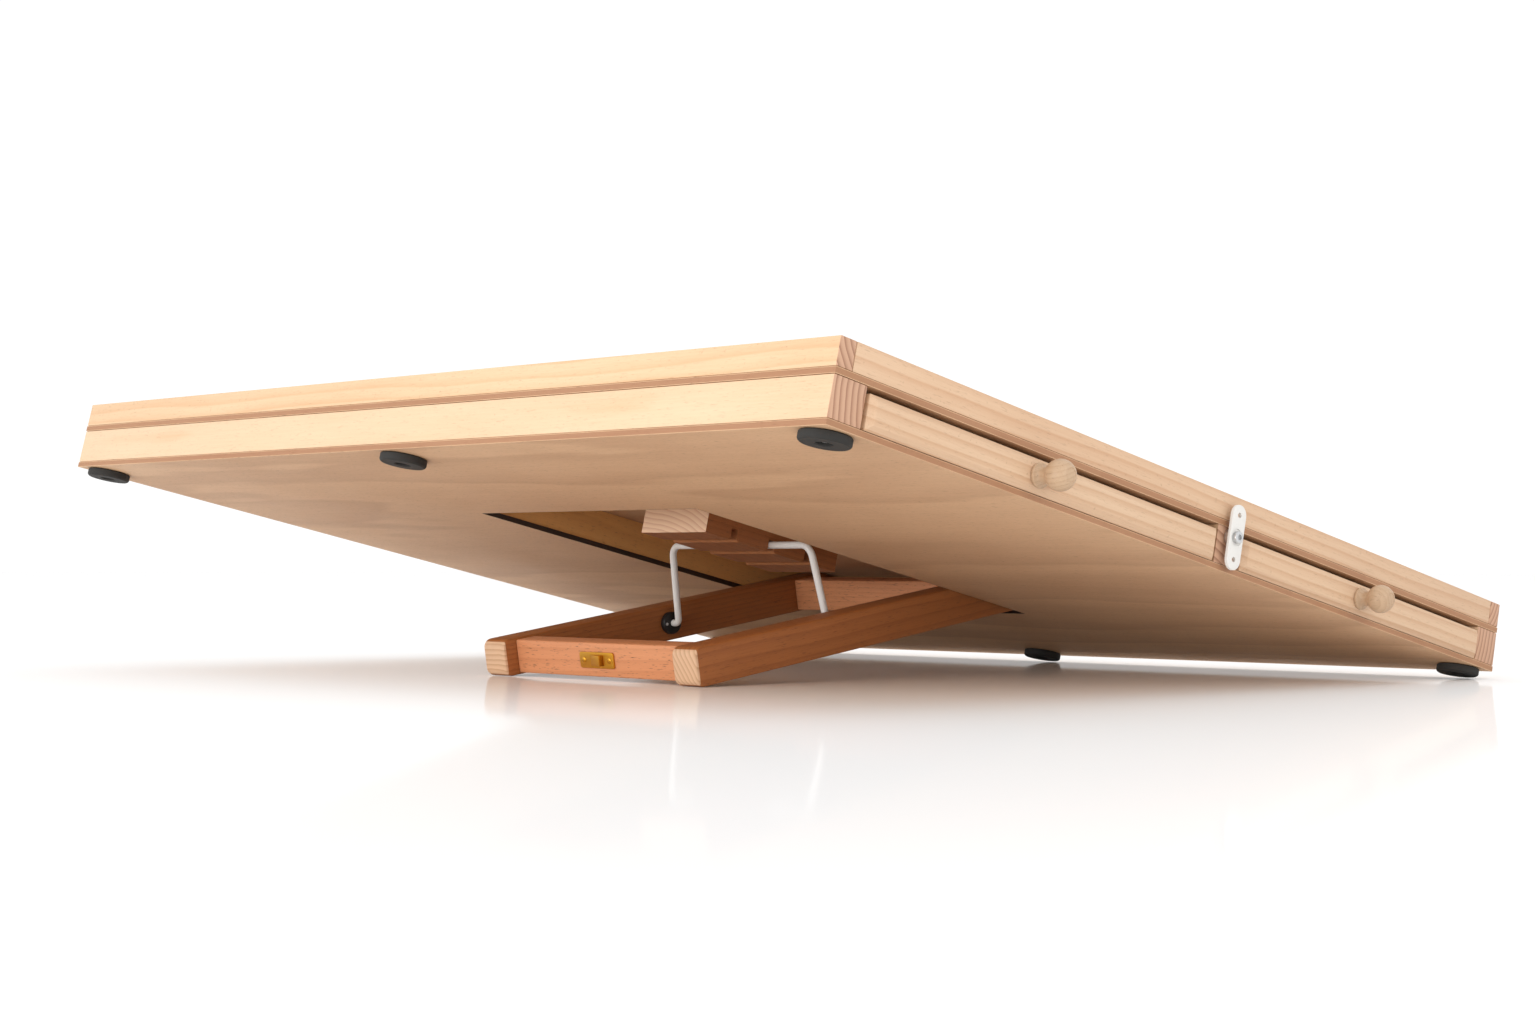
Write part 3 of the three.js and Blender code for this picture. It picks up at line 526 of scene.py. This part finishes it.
def bump(tree, shader, height, strength, distance):
    node = add(tree, "ShaderNodeBump")
    node.inputs["Strength"].default_value = strength
    node.inputs["Distance"].default_value = distance
    tree.links.new(height, node.inputs["Height"])
    tree.links.new(node.outputs["Normal"], shader.inputs["Normal"])


def solid_wood(name, pale, dark, turn, spin=0.0, pith=(0, 0.01, 0.09), ring_width=0.006,
               wander=0.012, rings=0.7, fibres=0.25, pores=0.2, gloss=0.45, end=None):
    """Solid wood. end is (axis, low, high, pale, dark): outside low to high its end grain shows; on
    the beech arms and ratchet these lighter colours also hold painted highlight.
    """
    material, tree, shader = new_material(name)
    vector = object_vector(tree, turn, spin, pith)
    wood = use_group(tree, grain, vector, Ring_Width=ring_width, Wander=wander)
    handled = use_group(tree, marks, vector)
    colour = tint(tree, paint(pale), wood.outputs["Ring"], rings, dark)
    colour = tint(tree, colour, wood.outputs["Fibre"], fibres, dark, "MULTIPLY")
    colour = tint(tree, colour, wood.outputs["Tone"], 0.35, dark, "MULTIPLY")
    colour = tint(tree, colour, wood.outputs["Pores"], pores, "#5a3a22")
    colour = tint(tree, colour, handled.outputs["Specks"], 0.25, "#7a5a3c")
    if end:
        axis, lowest, highest, end_pale, end_dark = end
        straight = object_vector(tree, turn)
        parts = add(tree, "ShaderNodeSeparateXYZ")
        tree.links.new(straight, parts.inputs[0])
        below = math_node(tree, "LESS_THAN", parts.outputs[axis], lowest)
        above = math_node(tree, "GREATER_THAN", parts.outputs[axis], highest)
        striped = blend(tree, wood.outputs["Ring"], paint(end_pale), paint(end_dark))
        colour = blend(tree, math_node(tree, "MAXIMUM", below, above), colour, striped)
    tree.links.new(colour, shader.inputs["Base Color"])
    dull = math_node(tree, "MULTIPLY_ADD", handled.outputs["Cloud"], 0.18, gloss)
    dull = math_node(tree, "MULTIPLY_ADD", wood.outputs["Fibre"], 0.1, dull)
    tree.links.new(dull, shader.inputs["Roughness"])
    bump(tree, shader, wood.outputs["Height"], 0.35, 0.0002)
    return material


print("material helpers ready")

# %% [markdown]
# ## Rims and rails
#
# The rim boards and the rails under them are planed pine. A real planed board has its sharp
# edges taken off with a few strokes of sandpaper, and that tiny round is what draws a light line
# along each edge. So each board is a block with every edge bevelled a little. The long boards
# run left to right, and their ends show at the corners as striped end grain.

# %% Pine finishes
def pith_beside(name, forward, above, along=0.0):
    """The shift that puts a log's middle beside a board, which turns its end rings upright."""
    centre = sum(straight_box(name, BOARD_TURN), Vector()) / 2
    return (along, -centre.y - forward, -centre.z - above)


HALF = straight_box("worktop_panel", BOARD_TURN)[1].x
END_SKIN = 0.0005  # how deep the end grain's colour goes
END = ("X", END_SKIN - HALF, HALF - END_SKIN, "#c99f82", "#85543a")
QUARTER = math.pi / 2
pine_rear = solid_wood("pine_rear", "#e8cba6", "#d6a473", BOARD_TURN,
                       pith=pith_beside("rim_rear", 0.05, 0.03, 0.1),
                       ring_width=0.0042, rings=0.5, end=END)
pine_front = solid_wood("pine_front", "#e8cba6", "#d6a473", BOARD_TURN,
                        pith=pith_beside("rim_front", -0.05, 0.02, 0.4),
                        ring_width=0.0042, rings=0.5, end=END)
pine_rail_rear = solid_wood("pine_rail_rear", "#ebd0af", "#dbae80", BOARD_TURN,
                            pith=pith_beside("rail_rear", 0.07, 0.008, 0.7),
                            ring_width=0.0046, rings=0.45, end=END)
pine_rail_front = solid_wood("pine_rail_front", "#ebd0af", "#dbae80", BOARD_TURN,
                             pith=pith_beside("rail_front", -0.07, 0.01, 0.2),
                             ring_width=0.0046, rings=0.45, end=END)
pine_left = solid_wood("pine_left", "#e2c6a4", "#c8966a", BOARD_TURN, QUARTER,
                       pith=(0.3, 0.47, 0.06), ring_width=0.009, wander=0.02, rings=0.6)
pine_right = solid_wood("pine_right", "#e2c5a5", "#c5946b", BOARD_TURN, QUARTER,
                        pith=(0.5, -0.41, 0.05), ring_width=0.009, wander=0.02, rings=0.6)
print("six pine finishes made")


# %% Bevelled boards
def eased_block(name, turn, ease, segments=2):
    low, high = straight_box(name, turn)
    piece = start_block(low, high)
    bevel_edges(piece, lambda start, end: True, ease, segments)
    return piece


BOARD_EASE = 0.0007
for name, wood, slot in (
        ("rim_rear", pine_rear, "pine"), ("rim_front", pine_front, "pine"),
        ("rim_left", pine_left, "pine"), ("rim_right", pine_right, "pine"),
        ("rail_rear", pine_rail_rear, "pine_rail"), ("rail_front", pine_rail_front, "pine_rail")):
    board = eased_block(name, BOARD_TURN, BOARD_EASE)
    hang(board, name + "_board", BOARD_TURN, "board", wood, slot, name)
print("six boards bevelled")

# %% [markdown]
# ## Plywood
#
# The two large panels are thin plywood: a thick core between two thin face sheets. Its face is
# tan with short dark flecks, and its edge shows the layers. The frame's solids already have the
# right shape, so they only need a finish. The layers are again drawn in space, by height, so the
# faces get the face sheet's colour and the edges get the stripes without any masking.

# %% Plywood finish
def layered_ply(name, face, core, turn, axis, low, high, spin=0.0, pith=(0.2, 0.3, 0.9),
                plies=3, mirrored=False, dark_opening=None, veneer=None):
    """Plywood layered along one straightened axis from low to high. dark_opening is (half width,
    rear, front) of an opening whose cut edges are coloured near black, and veneer is a thin face
    sheet's share."""
    material, tree, shader = new_material(name)
    vector = object_vector(tree, turn, spin, pith)
    wood = use_group(tree, grain, vector, Ring_Width=0.034, Wander=0.09, Sharpness=1.6)
    handled = use_group(tree, marks, vector)
    straight = object_vector(tree, turn)
    parts = add(tree, "ShaderNodeSeparateXYZ")
    tree.links.new(straight, parts.inputs[0])
    place = parts.outputs[axis]
    if mirrored:
        place = math_node(tree, "ABSOLUTE", place)
    share = math_node(tree, "DIVIDE", math_node(tree, "SUBTRACT", place, low), high - low)
    if veneer:
        depth = math_node(tree, "ABSOLUTE", math_node(tree, "SUBTRACT", share, 0.5))
        inner = math_node(tree, "LESS_THAN", depth, 0.5 - veneer)
    else:
        layer = math_node(tree, "FLOOR", math_node(tree, "MULTIPLY", share, plies * 0.999))
        inner = math_node(tree, "GREATER_THAN", math_node(tree, "MODULO", layer, 2.0), 0.5)
    colour = tint(tree, paint(face), wood.outputs["Ring"], 0.3, core)
    colour = tint(tree, colour, wood.outputs["Fibre"], 0.3, core, "MULTIPLY")
    colour = tint(tree, colour, wood.outputs["Pores"], 0.55, "#5b3d26")
    colour = tint(tree, colour, handled.outputs["Cloud"], 0.16, core, "MULTIPLY")
    colour = tint(tree, colour, inner, 0.8, core)
    if dark_opening:
        half, rear, front = dark_opening
        from_middle = math_node(tree, "ABSOLUTE", parts.outputs["X"])
        inside = math_node(tree, "LESS_THAN", from_middle, half)
        ahead = math_node(tree, "GREATER_THAN", parts.outputs["Y"], rear)
        behind = math_node(tree, "LESS_THAN", parts.outputs["Y"], front)
        between = math_node(tree, "MULTIPLY", ahead, behind)
        near_black_edge = math_node(tree, "MULTIPLY", inside, between)
        # the cut edges round the opening are coloured near black, a fraction of a millimetre deep
        colour = tint(tree, colour, near_black_edge, 0.94, "#120b06")
    tree.links.new(colour, shader.inputs["Base Color"])
    dull = math_node(tree, "MULTIPLY_ADD", handled.outputs["Cloud"], 0.2, 0.5)
    tree.links.new(dull, shader.inputs["Roughness"])
    bump(tree, shader, wood.outputs["Height"], 0.3, 0.00015)
    return material


WALL_SETBACK = 0.002  # from the opening's edge to the recess walls
# how deep the near-black colour reaches into the opening's cut edges
DARK_EDGE_DEPTH = 0.0003
edge = DARK_EDGE_DEPTH - WALL_SETBACK
opening = (straight_box("recess_wall_right", BOARD_TURN)[0].x + edge,
           straight_box("recess_wall_rear", BOARD_TURN)[1].y - edge,
           straight_box("recess_wall_front", BOARD_TURN)[0].y + edge)
for name, pith, cut in (("bottom_panel", (0.2, 0.3, 0.9), opening),
                        ("worktop_panel", (0.5, -0.2, 1.1), None)):
    low, high = straight_box(name, BOARD_TURN)
    finish_solid(name, layered_ply("ply_" + name, "#e4be96", "#9a6846", BOARD_TURN, "Z",
                                   low.z, high.z, 0, pith, dark_opening=cut, veneer=0.09))
print("two plywood panels finished")

# %% Plywood of the recess and of the drawer boxes
recess = "recess_wall_"
low, high = straight_box(recess + "right", BOARD_TURN)
side_ply = layered_ply("ply_recess_side", "#f0bb74", "#b98046", BOARD_TURN, "X", low.x, high.x,
                       QUARTER, (0.1, 0.1, 0.5), mirrored=True)
finish_solid(recess + "left", side_ply)
finish_solid(recess + "right", side_ply)
for end in ("rear", "front"):
    low, high = straight_box(recess + end, BOARD_TURN)
    finish_solid(recess + end, layered_ply("ply_recess_" + end, "#e2b684", "#a8743f", BOARD_TURN,
                                           "Y", low.y, high.y, 0, (0.6, 0.1, 0.5)))
drawers = [body for body in frame["bodies"] if body.startswith("drawer_")]
for drawer in drawers:
    for wall, axis in (("side_rear", "Y"), ("side_front", "Y"), ("back", "X"), ("bottom", "Z")):
        name = drawer + "_" + wall
        low, high = straight_box(name, BOARD_TURN)
        ends = {"X": (low.x, high.x), "Y": (low.y, high.y), "Z": (low.z, high.z)}[axis]
        spin = QUARTER if axis == "X" else 0
        plies = 3 if axis == "Z" else 5
        finish_solid(name, layered_ply("ply_" + name, "#dcb483", "#a97a4c", BOARD_TURN, axis,
                                       *ends, spin, (ends[0], 0.4, 0.7), plies))
divider_wood = solid_wood("pine_divider", "#e0c39c", "#be8858", BOARD_TURN,
                          pith=(0, 0.1, 0.12), end=END)
finish_solid("divider_left", divider_wood)
finish_solid("divider_right", divider_wood)
print(len(drawers), "drawer boxes finished")

# %% [markdown]
# ## Drawer fronts
#
# Each drawer shows only a slim front with a flat chamfer all along its outer edges. It stands a few
# millimetres proud of the board's side, with a dark gap above it. The chamfer is a wide bevel in
# one step, on the four outer edges only, because the inner edges sit tight against the drawer box.
# A second, tiny bevel then takes the sharpness off the chamfer itself.

# %% Drawer fronts
FRONT_CHAMFER = 0.0037
CHAMFER_EASE = 0.0006
for number, drawer in enumerate(drawers):
    name = drawer + "_front"
    low, high = straight_box(name, BOARD_TURN)
    outer = high.x if high.x > 0 else low.x
    front = start_block(low, high)
    bevel_edges(front, lambda start, end: level(start, end, 0, outer), FRONT_CHAMFER, 1)
    bevel_edges(front, lambda start, end: level(start, end, 0, outer), CHAMFER_EASE, 2)
    wood = solid_wood("pine_" + name, "#e4c8a8", "#bf8c60", BOARD_TURN, QUARTER, rings=0.55,
                      pith=(0.35 * number, -outer * 0.86, 0.03 + 0.02 * number),
                      ring_width=0.007)
    hang(front, name + "_board", BOARD_TURN, drawer, wood, "pine_front", name)
print("drawer fronts chamfered")

# %% [markdown]
# ## Turned knobs
#
# A knob is made on a lathe: a flat base, a waist and a ball with a slightly flattened face. In
# edit mode the same thing is done with a circle that is pushed out and resized again and again.
# The left knobs are mirror images of the right ones.

# %% Knob finish
knob_wood = solid_wood("turned_beech", "#cfb292", "#ab835c", BOARD_TURN, pith=(0, 0.12, 0.04),
                       ring_width=0.003, rings=0.35, fibres=0.15, pores=0.35, gloss=0.3)
print("knob finish made")

# %% Knobs
NECK_ANGLE = 33  # degrees round the ball, where the neck meets it
FACE_ANGLE = 149  # degrees round the ball, where its flattened face begins
BALL_STEPS = 16
BALL_SQUASH = 0.98
BALL_DROP = 0.86  # from the face to the ball's middle, as a share of its radius


def knob_stations(length, head):
    """Distances and radii in metres, from the base to the face."""
    base = [(0, 0.78), (0.0004, 0.8), (0.0015, 0.8), (0.0021, 0.75), (0.0025, 0.62),
            (0.0035, 0.53), (0.0055, 0.49)]
    stations = [(place, share * head) for place, share in base]
    centre = length - BALL_DROP * head
    for step in range(BALL_STEPS + 1):
        angle = math.radians(NECK_ANGLE + step * (FACE_ANGLE - NECK_ANGLE) / BALL_STEPS)
        place = centre - BALL_SQUASH * head * math.cos(angle)
        stations.append((place, head * math.sin(angle)))
    face = stations[-1][0]
    stations += [(face + 0.0002, 0.44 * head), (face - 0.0001, 0.41 * head),
                 (length, 0.3 * head), (length, 0.1 * head)]
    return stations


for end in ("rear", "front"):
    body = "drawer_right_" + end
    low, high = straight_box(body + "_knob", BOARD_TURN)
    centre = (low + high) / 2
    stations = knob_stations(high.x - low.x, (high.z - low.z) / 2)
    knob = start_turned(stations, Vector((low.x, centre.y, centre.z)))
    hang_pair(knob, body + "_knob", "_turned", BOARD_TURN, body, knob_wood, "knob_wood")
print("four knobs turned")

# %% [markdown]
# ## Metal, rubber and plastic finishes
#
# The small fittings are a satin white plate, a white coated wire, zinc screws, yellow brass,
# black rubber and black plastic. Each one is even in colour and gets its life from roughness
# and a very fine bump: brushing on the metals, a slight orange peel on the coatings, a dry
# powdery dust on the rubber.

# %% Fitting finishes
def fitting(name, colour, second, gloss, metal=0.0, stretch=(700, 700, 700), depth=0.00003,
            strength=0.2, turn=BOARD_TURN, mottle=0.3):
    material, tree, shader = new_material(name)
    vector = object_vector(tree, turn)
    handled = use_group(tree, marks, vector)
    fine = stretched_noise(tree, vector, stretch, 3, 0.6)
    tone = tint(tree, paint(colour), handled.outputs["Cloud"], mottle, second)
    tone = tint(tree, tone, fine, mottle * 0.6, second)
    tone = tint(tree, tone, handled.outputs["Specks"], 0.3, second)
    tree.links.new(tone, shader.inputs["Base Color"])
    dull = math_node(tree, "MULTIPLY_ADD", handled.outputs["Cloud"], 0.16, gloss - 0.08)
    dull = math_node(tree, "MULTIPLY_ADD", fine, 0.08, dull)
    tree.links.new(dull, shader.inputs["Roughness"])
    shader.inputs["Metallic"].default_value = metal
    bump(tree, shader, fine, strength, depth)
    return material


white_metal = fitting("white_plate", "#e6e4e0", "#c9c5bd", 0.34)
white_coat = fitting("white_coating", "#f6f5f2", "#dedbd5", 0.36)
zinc = fitting("bright_zinc", "#d9dadb", "#a9abad", 0.3, 1.0, (300, 2600, 2600))
brass = fitting("brass", "#e6b043", "#a8721c", 0.34, 1.0, (2600, 500, 300),
                turn=STAND_TURN, mottle=0.5)
rubber = fitting("black_rubber", "#1b1a19", "#37342f", 0.72, 0.0, (1400, 1400, 1400),
                 0.00006, 0.35, mottle=0.4)
plastic = fitting("black_plastic", "#171717", "#2b2a29", 0.42, 0.0, (900, 900, 900),
                  turn=STAND_TURN)
finish_solid("hinge_bolt_left", zinc)
finish_solid("hinge_bolt_right", zinc)
finish_solid("catch_strike", brass)
print("six fitting finishes made")

# %% [markdown]
# ## Turn buttons
#
# Between the two drawers of a side, a small white plate turns on a screw. Upright it frees both
# drawers, and across it locks them. The plate starts as a block whose corners are bevelled until
# its ends are half circles. Then the screw's seat and two small holes are carved out of it.

# %% Turn-button plates
HOLE_RISE = 0.015  # from the plate's middle to each small hole
HOLE_RADIUS = 0.0018
SEAT_RADIUS = 0.0058
SEAT_DEPTH = 0.0007
low, high = straight_box("turn_plate_right", BOARD_TURN)
centre = (low + high) / 2
face = high.x
across = (high.y - low.y) / 2
plate = start_block(low, high)
bevel_edges(plate, lambda start, end: spans(start, end, 0), across * NEARLY_ROUND, 12)
bevel_edges(plate, lambda start, end: level(start, end, 0, face), 0.0004, 2)
for lift, size, depth in ((HOLE_RISE, HOLE_RADIUS, 0.01), (-HOLE_RISE, HOLE_RADIUS, 0.01),
                          (0, SEAT_RADIUS, SEAT_DEPTH)):
    place = Vector((face - depth, centre.y, centre.z + lift))
    carve(plate, start_turned([(0, size), (depth + 0.002, size)], place, 32))
hang_pair(plate, "turn_plate_right", "_white", BOARD_TURN, "turn_button_right", white_metal,
          "white_metal")
print("two plates rounded and drilled")

# %% Turn-button screws
SHANK_RADIUS = 0.0024
SHANK_DEPTH = 0.012  # how far the screw enters the divider
COLLAR_RADIUS = 0.0055
COLLAR_GAP = 0.0003  # at both ends of the collar behind the plate
SOCKET_RADIUS = 0.0021
inner, outer = HALF + COLLAR_GAP, low.x - COLLAR_GAP
stations = [(HALF - SHANK_DEPTH, SHANK_RADIUS), (inner, SHANK_RADIUS), (inner, COLLAR_RADIUS),
            (outer, COLLAR_RADIUS), (outer, SHANK_RADIUS), (face - 0.0006, SHANK_RADIUS),
            (face - 0.0006, 0.0040), (face + 0.0018, 0.0042), (face + 0.0024, 0.0039),
            (face + 0.0026, 0.0034)]
screw = start_turned(stations, Vector((0, centre.y, centre.z)), 40)
socket_place = Vector((face + 0.0009, centre.y, centre.z))
carve(screw, start_turned([(0, SOCKET_RADIUS), (0.003, SOCKET_RADIUS)], socket_place, 6))
hang_pair(screw, "turn_screw_right", "_zinc", BOARD_TURN, "board", zinc, "steel")
print("two socket screws made")

# %% [markdown]
# ## Rubber feet
#
# Six black discs protect the table. Each has a rounded rim and a deep seat in the middle, where
# a small zinc screw holds it. One foot and one screw are modelled and copied to the other places.

# %% Feet
SEAT_DEPTH = 0.0034  # from the foot's lower face up to the screw's seat
SLOT_LENGTH = 0.006
SLOT_WIDTH = 0.0008
ends = ("rear", "front")
places = ("left", "middle", "right")
names = ["foot_" + end + "_" + place for end in ends for place in places]
low, high = straight_box(names[0], BOARD_TURN)
centre = (low + high) / 2
wide = (high.x - low.x) / 2
under = low.z - high.z
stations = [(0, wide - 0.0006), (-0.0005, wide), (under + 0.0016, wide),
            (under + 0.0006, wide - 0.0005), (under, wide - 0.0014), (under, 0.0062),
            (under + 0.0006, 0.0054), (under + SEAT_DEPTH, 0.0051), (under + SEAT_DEPTH, 0.001)]
first_foot = start_turned(stations, Vector((centre.x, centre.y, high.z)), 56, "Z")
seat = Vector((centre.x, centre.y, low.z + SEAT_DEPTH))
head = [(0.0003, 0.0034), (-0.0004, 0.0038), (-0.0014, 0.0033), (-0.0019, 0.0022), (-0.002, 0.0006)]
first_screw = start_turned(head, seat, 32, "Z")
slot_low = seat - Vector((SLOT_LENGTH / 2, SLOT_WIDTH / 2, 0.003))
slot_high = seat + Vector((SLOT_LENGTH / 2, SLOT_WIDTH / 2, -0.0012))
carve(first_screw, start_block(slot_low, slot_high))
for name in names:
    corner, _ = straight_box(name, BOARD_TURN)
    foot = copy_moved(first_foot, corner - low)
    hang(foot, name + "_rubber", BOARD_TURN, "board", rubber, "rubber", name)
    screw = copy_moved(first_screw, corner - low)
    hang(screw, name + "_screw", BOARD_TURN, "board", zinc, "steel")
bpy.data.objects.remove(first_foot)
bpy.data.objects.remove(first_screw)
print(len(names), "feet screwed on")

# %% [markdown]
# ## The stand
#
# Two beech arms and two bars make a frame that hinges in the recess. An arm is a block whose
# rear corners are bevelled round and whose hinge end is bevelled into a half circle. After that
# a smaller bevel runs round both faces, as a router would cut it. The arms' ends show end grain,
# and their finish gets a lighter tint past a given distance: partly the end grain's own colour,
# partly painted highlight for the light that falls on the ends.

# %% Beech finishes
low, high = straight_box("stand_arm_right", STAND_TURN)
FAR = 1  # metres, further than any piece reaches
# lighter tint on the arms' rear ends: partly end grain colour, partly painted highlight from the
# rear light
arm_end_lit = ("Y", low.y + 0.0022, high.y + FAR, "#dfba97", "#bb8e69")
beech_arm = solid_wood("beech_arm", "#c07a40", "#80451d", STAND_TURN, QUARTER,
                       pith=(0, 0.12, 0.1), ring_width=0.004, rings=0.4, fibres=0.3, pores=0.6,
                       gloss=0.4, end=arm_end_lit)
beech_bar = solid_wood("beech_bar", "#eaa878", "#c07c4a", STAND_TURN, pith=(0.3, -0.1, 0.09),
                       ring_width=0.004, rings=0.35, fibres=0.25, pores=0.8, gloss=0.42)
rear_end = straight_box("ratchet_board", BOARD_TURN)[0].y + 0.0003
# near-white tint on the ratchet board's rear end: partly end grain colour, partly painted highlight
# from the rear light
ratchet_end_lit = ("Y", rear_end, high.y + FAR, "#ffdcbb", "#dfac86")
beech_ratchet = solid_wood("beech_ratchet", "#c4824f", "#8a4f28", BOARD_TURN, QUARTER,
                           pith=(0.2, 0.05, 0.08), ring_width=0.004, rings=0.4, fibres=0.25,
                           pores=0.7, gloss=0.45, end=ratchet_end_lit)
finish_solid("ratchet_board", beech_ratchet)
print("beech finishes made")


# %% Arms
def end_corners(y):
    """Accepts the edges across the arm's end at a place along it."""
    return lambda start, end: level(start, end, 1, y) and spans(start, end, 0)


REAR_ROUND = 0.0065
ARM_EASE = 0.0016
hinge_round = (high.z - low.z) / 2 * NEARLY_ROUND
arm = start_block(low, high)
bevel_edges(arm, end_corners(low.y), REAR_ROUND, 6)
bevel_edges(arm, end_corners(high.y), hinge_round, 12)
bevel_edges(arm, lambda start, end: level(start, end, 0, low.x) or level(start, end, 0, high.x),
            ARM_EASE, 3)
hang_pair(arm, "stand_arm_right", "_beech", STAND_TURN, "stand", beech_arm, "beech")
print("two arms rounded")

# %% Bars
BAR_EASE = 0.0014
for name in ("stand_bar_rear", "stand_bar_front"):
    bar = eased_block(name, STAND_TURN, BAR_EASE, 3)
    hang(bar, name + "_beech", STAND_TURN, "stand", beech_bar, "beech", name)
print("two bars eased")

# %% [markdown]
# ## The wire prop
#
# One length of white coated wire makes five straights: a foot turned out, a leg, the bar that sits
# in the ratchet, the other leg and the other foot. It is drawn as it would be bent at the bench. A
# disc is pushed along each straight, and spun about a point beside it for each bend.

# %% Slope of the prop
bar_place = Vector(joints["prop_swing"]["pos_m"])
foot_place = middle("wire_bushing_right")
leg = foot_place - bar_place
PROP_TURN = -math.atan2(leg.y, -leg.z)
straighten = Matrix.Rotation(PROP_TURN, 3, "X")
bar = straighten @ bar_place
foot_level = (straighten @ foot_place).z
print("the prop leans", round(math.degrees(-PROP_TURN), 2), "degrees")

# %% Corners of the wire
FOOT_REACH = 0.0067  # from a leg's middle line to the end of its foot
SPLAY = 0.007  # how much further out each leg is at its foot than at the bar
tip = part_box("prop_wire")[1].x
foot = tip - FOOT_REACH
top = foot - SPLAY
flat = [(-tip, foot_level), (-foot, foot_level), (-top, bar.z), (top, bar.z),
        (foot, foot_level), (tip, foot_level)]
corners = [Vector((x, bar.y, z)) for x, z in flat]
print(len(corners), "corners placed")

# %% Bend the wire
FOOT_BEND = 0.0045
TOP_BEND = 0.01
WIRE_RADIUS = 0.00275
bpy.ops.object.select_all(action="DESELECT")
bpy.ops.mesh.primitive_circle_add(vertices=24, radius=WIRE_RADIUS, fill_type="NGON",
                                  location=corners[0], rotation=(0, math.pi / 2, 0))
bpy.ops.object.transform_apply(location=True, rotation=True, scale=True)
wire = bpy.context.object
bpy.ops.object.mode_set(mode="EDIT")
bpy.ops.mesh.select_all(action="SELECT")
here = corners[0]
for number, size in enumerate([FOOT_BEND, TOP_BEND, TOP_BEND, FOOT_BEND]):
    corner, beyond = corners[number + 1], corners[number + 2]
    before = (corner - corners[number]).normalized()
    after = (beyond - corner).normalized()
    swing = before.angle(after)
    back = size * math.tan(swing / 2)
    start = corner - before * back
    bpy.ops.mesh.extrude_region_move(TRANSFORM_OT_translate={"value": start - here})
    side_way = (after - before * after.dot(before)).normalized()
    axis = side_way.cross(before)
    bpy.ops.mesh.spin(steps=10, angle=swing, center=start + side_way * size, axis=axis)
    here = corner + after * back
bpy.ops.mesh.extrude_region_move(TRANSFORM_OT_translate={"value": corners[-1] - here})
bpy.ops.mesh.select_all(action="SELECT")
bpy.ops.mesh.remove_doubles(threshold=0.00001)
bpy.ops.mesh.normals_make_consistent(inside=False)
bpy.ops.object.mode_set(mode="OBJECT")
hang(wire, "prop_wire_coated", PROP_TURN, "prop", white_coat, "white_coat", "prop_wire")
print("wire bent, with", len(wire.data.vertices), "points")

# %% [markdown]
# ## Bushings and catch
#
# The wire's feet end at two black discs on the arms' inner faces, each with a tiny screw. On the
# rear bar sits a brass catch: a plate with rounded corners, a slot and a small sprung wedge that
# snaps into the recess when the stand is folded.

# %% Bushings
low, high = straight_box("wire_bushing_right", STAND_TURN)
centre = (low + high) / 2
wide = (high.z - low.z) / 2
deep = low.x - high.x
stations = [(0, wide - 0.0003), (-0.0003, wide), (deep + 0.0011, wide),
            (deep + 0.0004, wide - 0.0004), (deep, wide - 0.0011), (deep, 0.0042),
            (deep + 0.0005, 0.0038), (deep + 0.0005, 0.0008)]
bushing = start_turned(stations, Vector((high.x, centre.y, centre.z)), 40)
hang_pair(bushing, "wire_bushing_right", "_plastic", STAND_TURN, "stand", plastic,
          "black_plastic")
pin_place = Vector((low.x, low.y + 0.0026, centre.z))
pin_profile = [(0.0004, 0.0013), (-0.0001, 0.0013), (-0.0004, 0.0009), (-0.0005, 0.0003)]
pin = start_turned(pin_profile, pin_place, 24)
twin = copy_mirrored(pin)
hang(pin, "bushing_screw_right", STAND_TURN, "stand", zinc, "steel")
hang(twin, "bushing_screw_left", STAND_TURN, "stand", zinc, "steel")
print("two bushings turned")

# %% Plate and wedge of the catch
PLATE_THICKNESS = 0.0012
SLOT_LOW, SLOT_HIGH = 0.0069, 0.0083  # the slot's sides, from the catch's middle
WEDGE_HALF = 0.0065
WEDGE_REACH = 0.0042  # from the plate's back to the wedge's blunt face
WEDGE_RAKE = 0.0027  # how much lower the wedge is at its thin end
HALF_HEIGHT = 0.004  # of the slot and of the wedge
low, high = straight_box("catch_plate", STAND_TURN)
back = high.y
front_face = back - PLATE_THICKNESS
wedge_face = back - WEDGE_REACH
centre_z = (low.z + high.z) / 2
under, over = centre_z - HALF_HEIGHT, centre_z + HALF_HEIGHT
plate = start_block(Vector((low.x, front_face, low.z)), high)
bevel_edges(plate, lambda start, end: spans(start, end, 1), 0.002, 5)
bevel_edges(plate, lambda start, end: level(start, end, 1, front_face), 0.0003, 2)
carve(plate, start_block(Vector((SLOT_LOW, back - 0.01, under)),
                         Vector((SLOT_HIGH, back + 0.01, over))))
wedge = start_block(Vector((-WEDGE_HALF, wedge_face, under)),
                    Vector((WEDGE_HALF, back - 0.0006, over)))
pick(wedge, "edge", lambda start, end: level(start, end, 1, wedge_face)
     and level(start, end, 0, -WEDGE_HALF))
bpy.ops.transform.translate(value=(0, WEDGE_RAKE, 0))
bpy.ops.object.mode_set(mode="OBJECT")
bevel_edges(wedge, lambda start, end: min(start.y, end.y) < back - 0.001, 0.0004, 3)
print("plate slotted, wedge raked")

# %% Screws of the catch
SCREW_SPREAD = 0.015  # from the catch's middle to each screw
catch_pieces = [plate, wedge]
dome_profile = [(0.0002, 0.0022), (-0.0002, 0.0022), (-0.0005, 0.0017), (-0.0007, 0.0005)]
for side in (-1, 1):
    place = Vector((side * SCREW_SPREAD, front_face, centre_z))
    dome = start_turned(dome_profile, place, 28, "Y")
    carve(dome, start_block(place - Vector((0.002, 0.0012, 0.0003)),
                            place + Vector((0.002, -0.0003, 0.0003))))
    catch_pieces.append(dome)
catch = join(*catch_pieces)
hang(catch, "catch_brass", STAND_TURN, "stand", brass, "brass", "catch_plate")
print("catch assembled")
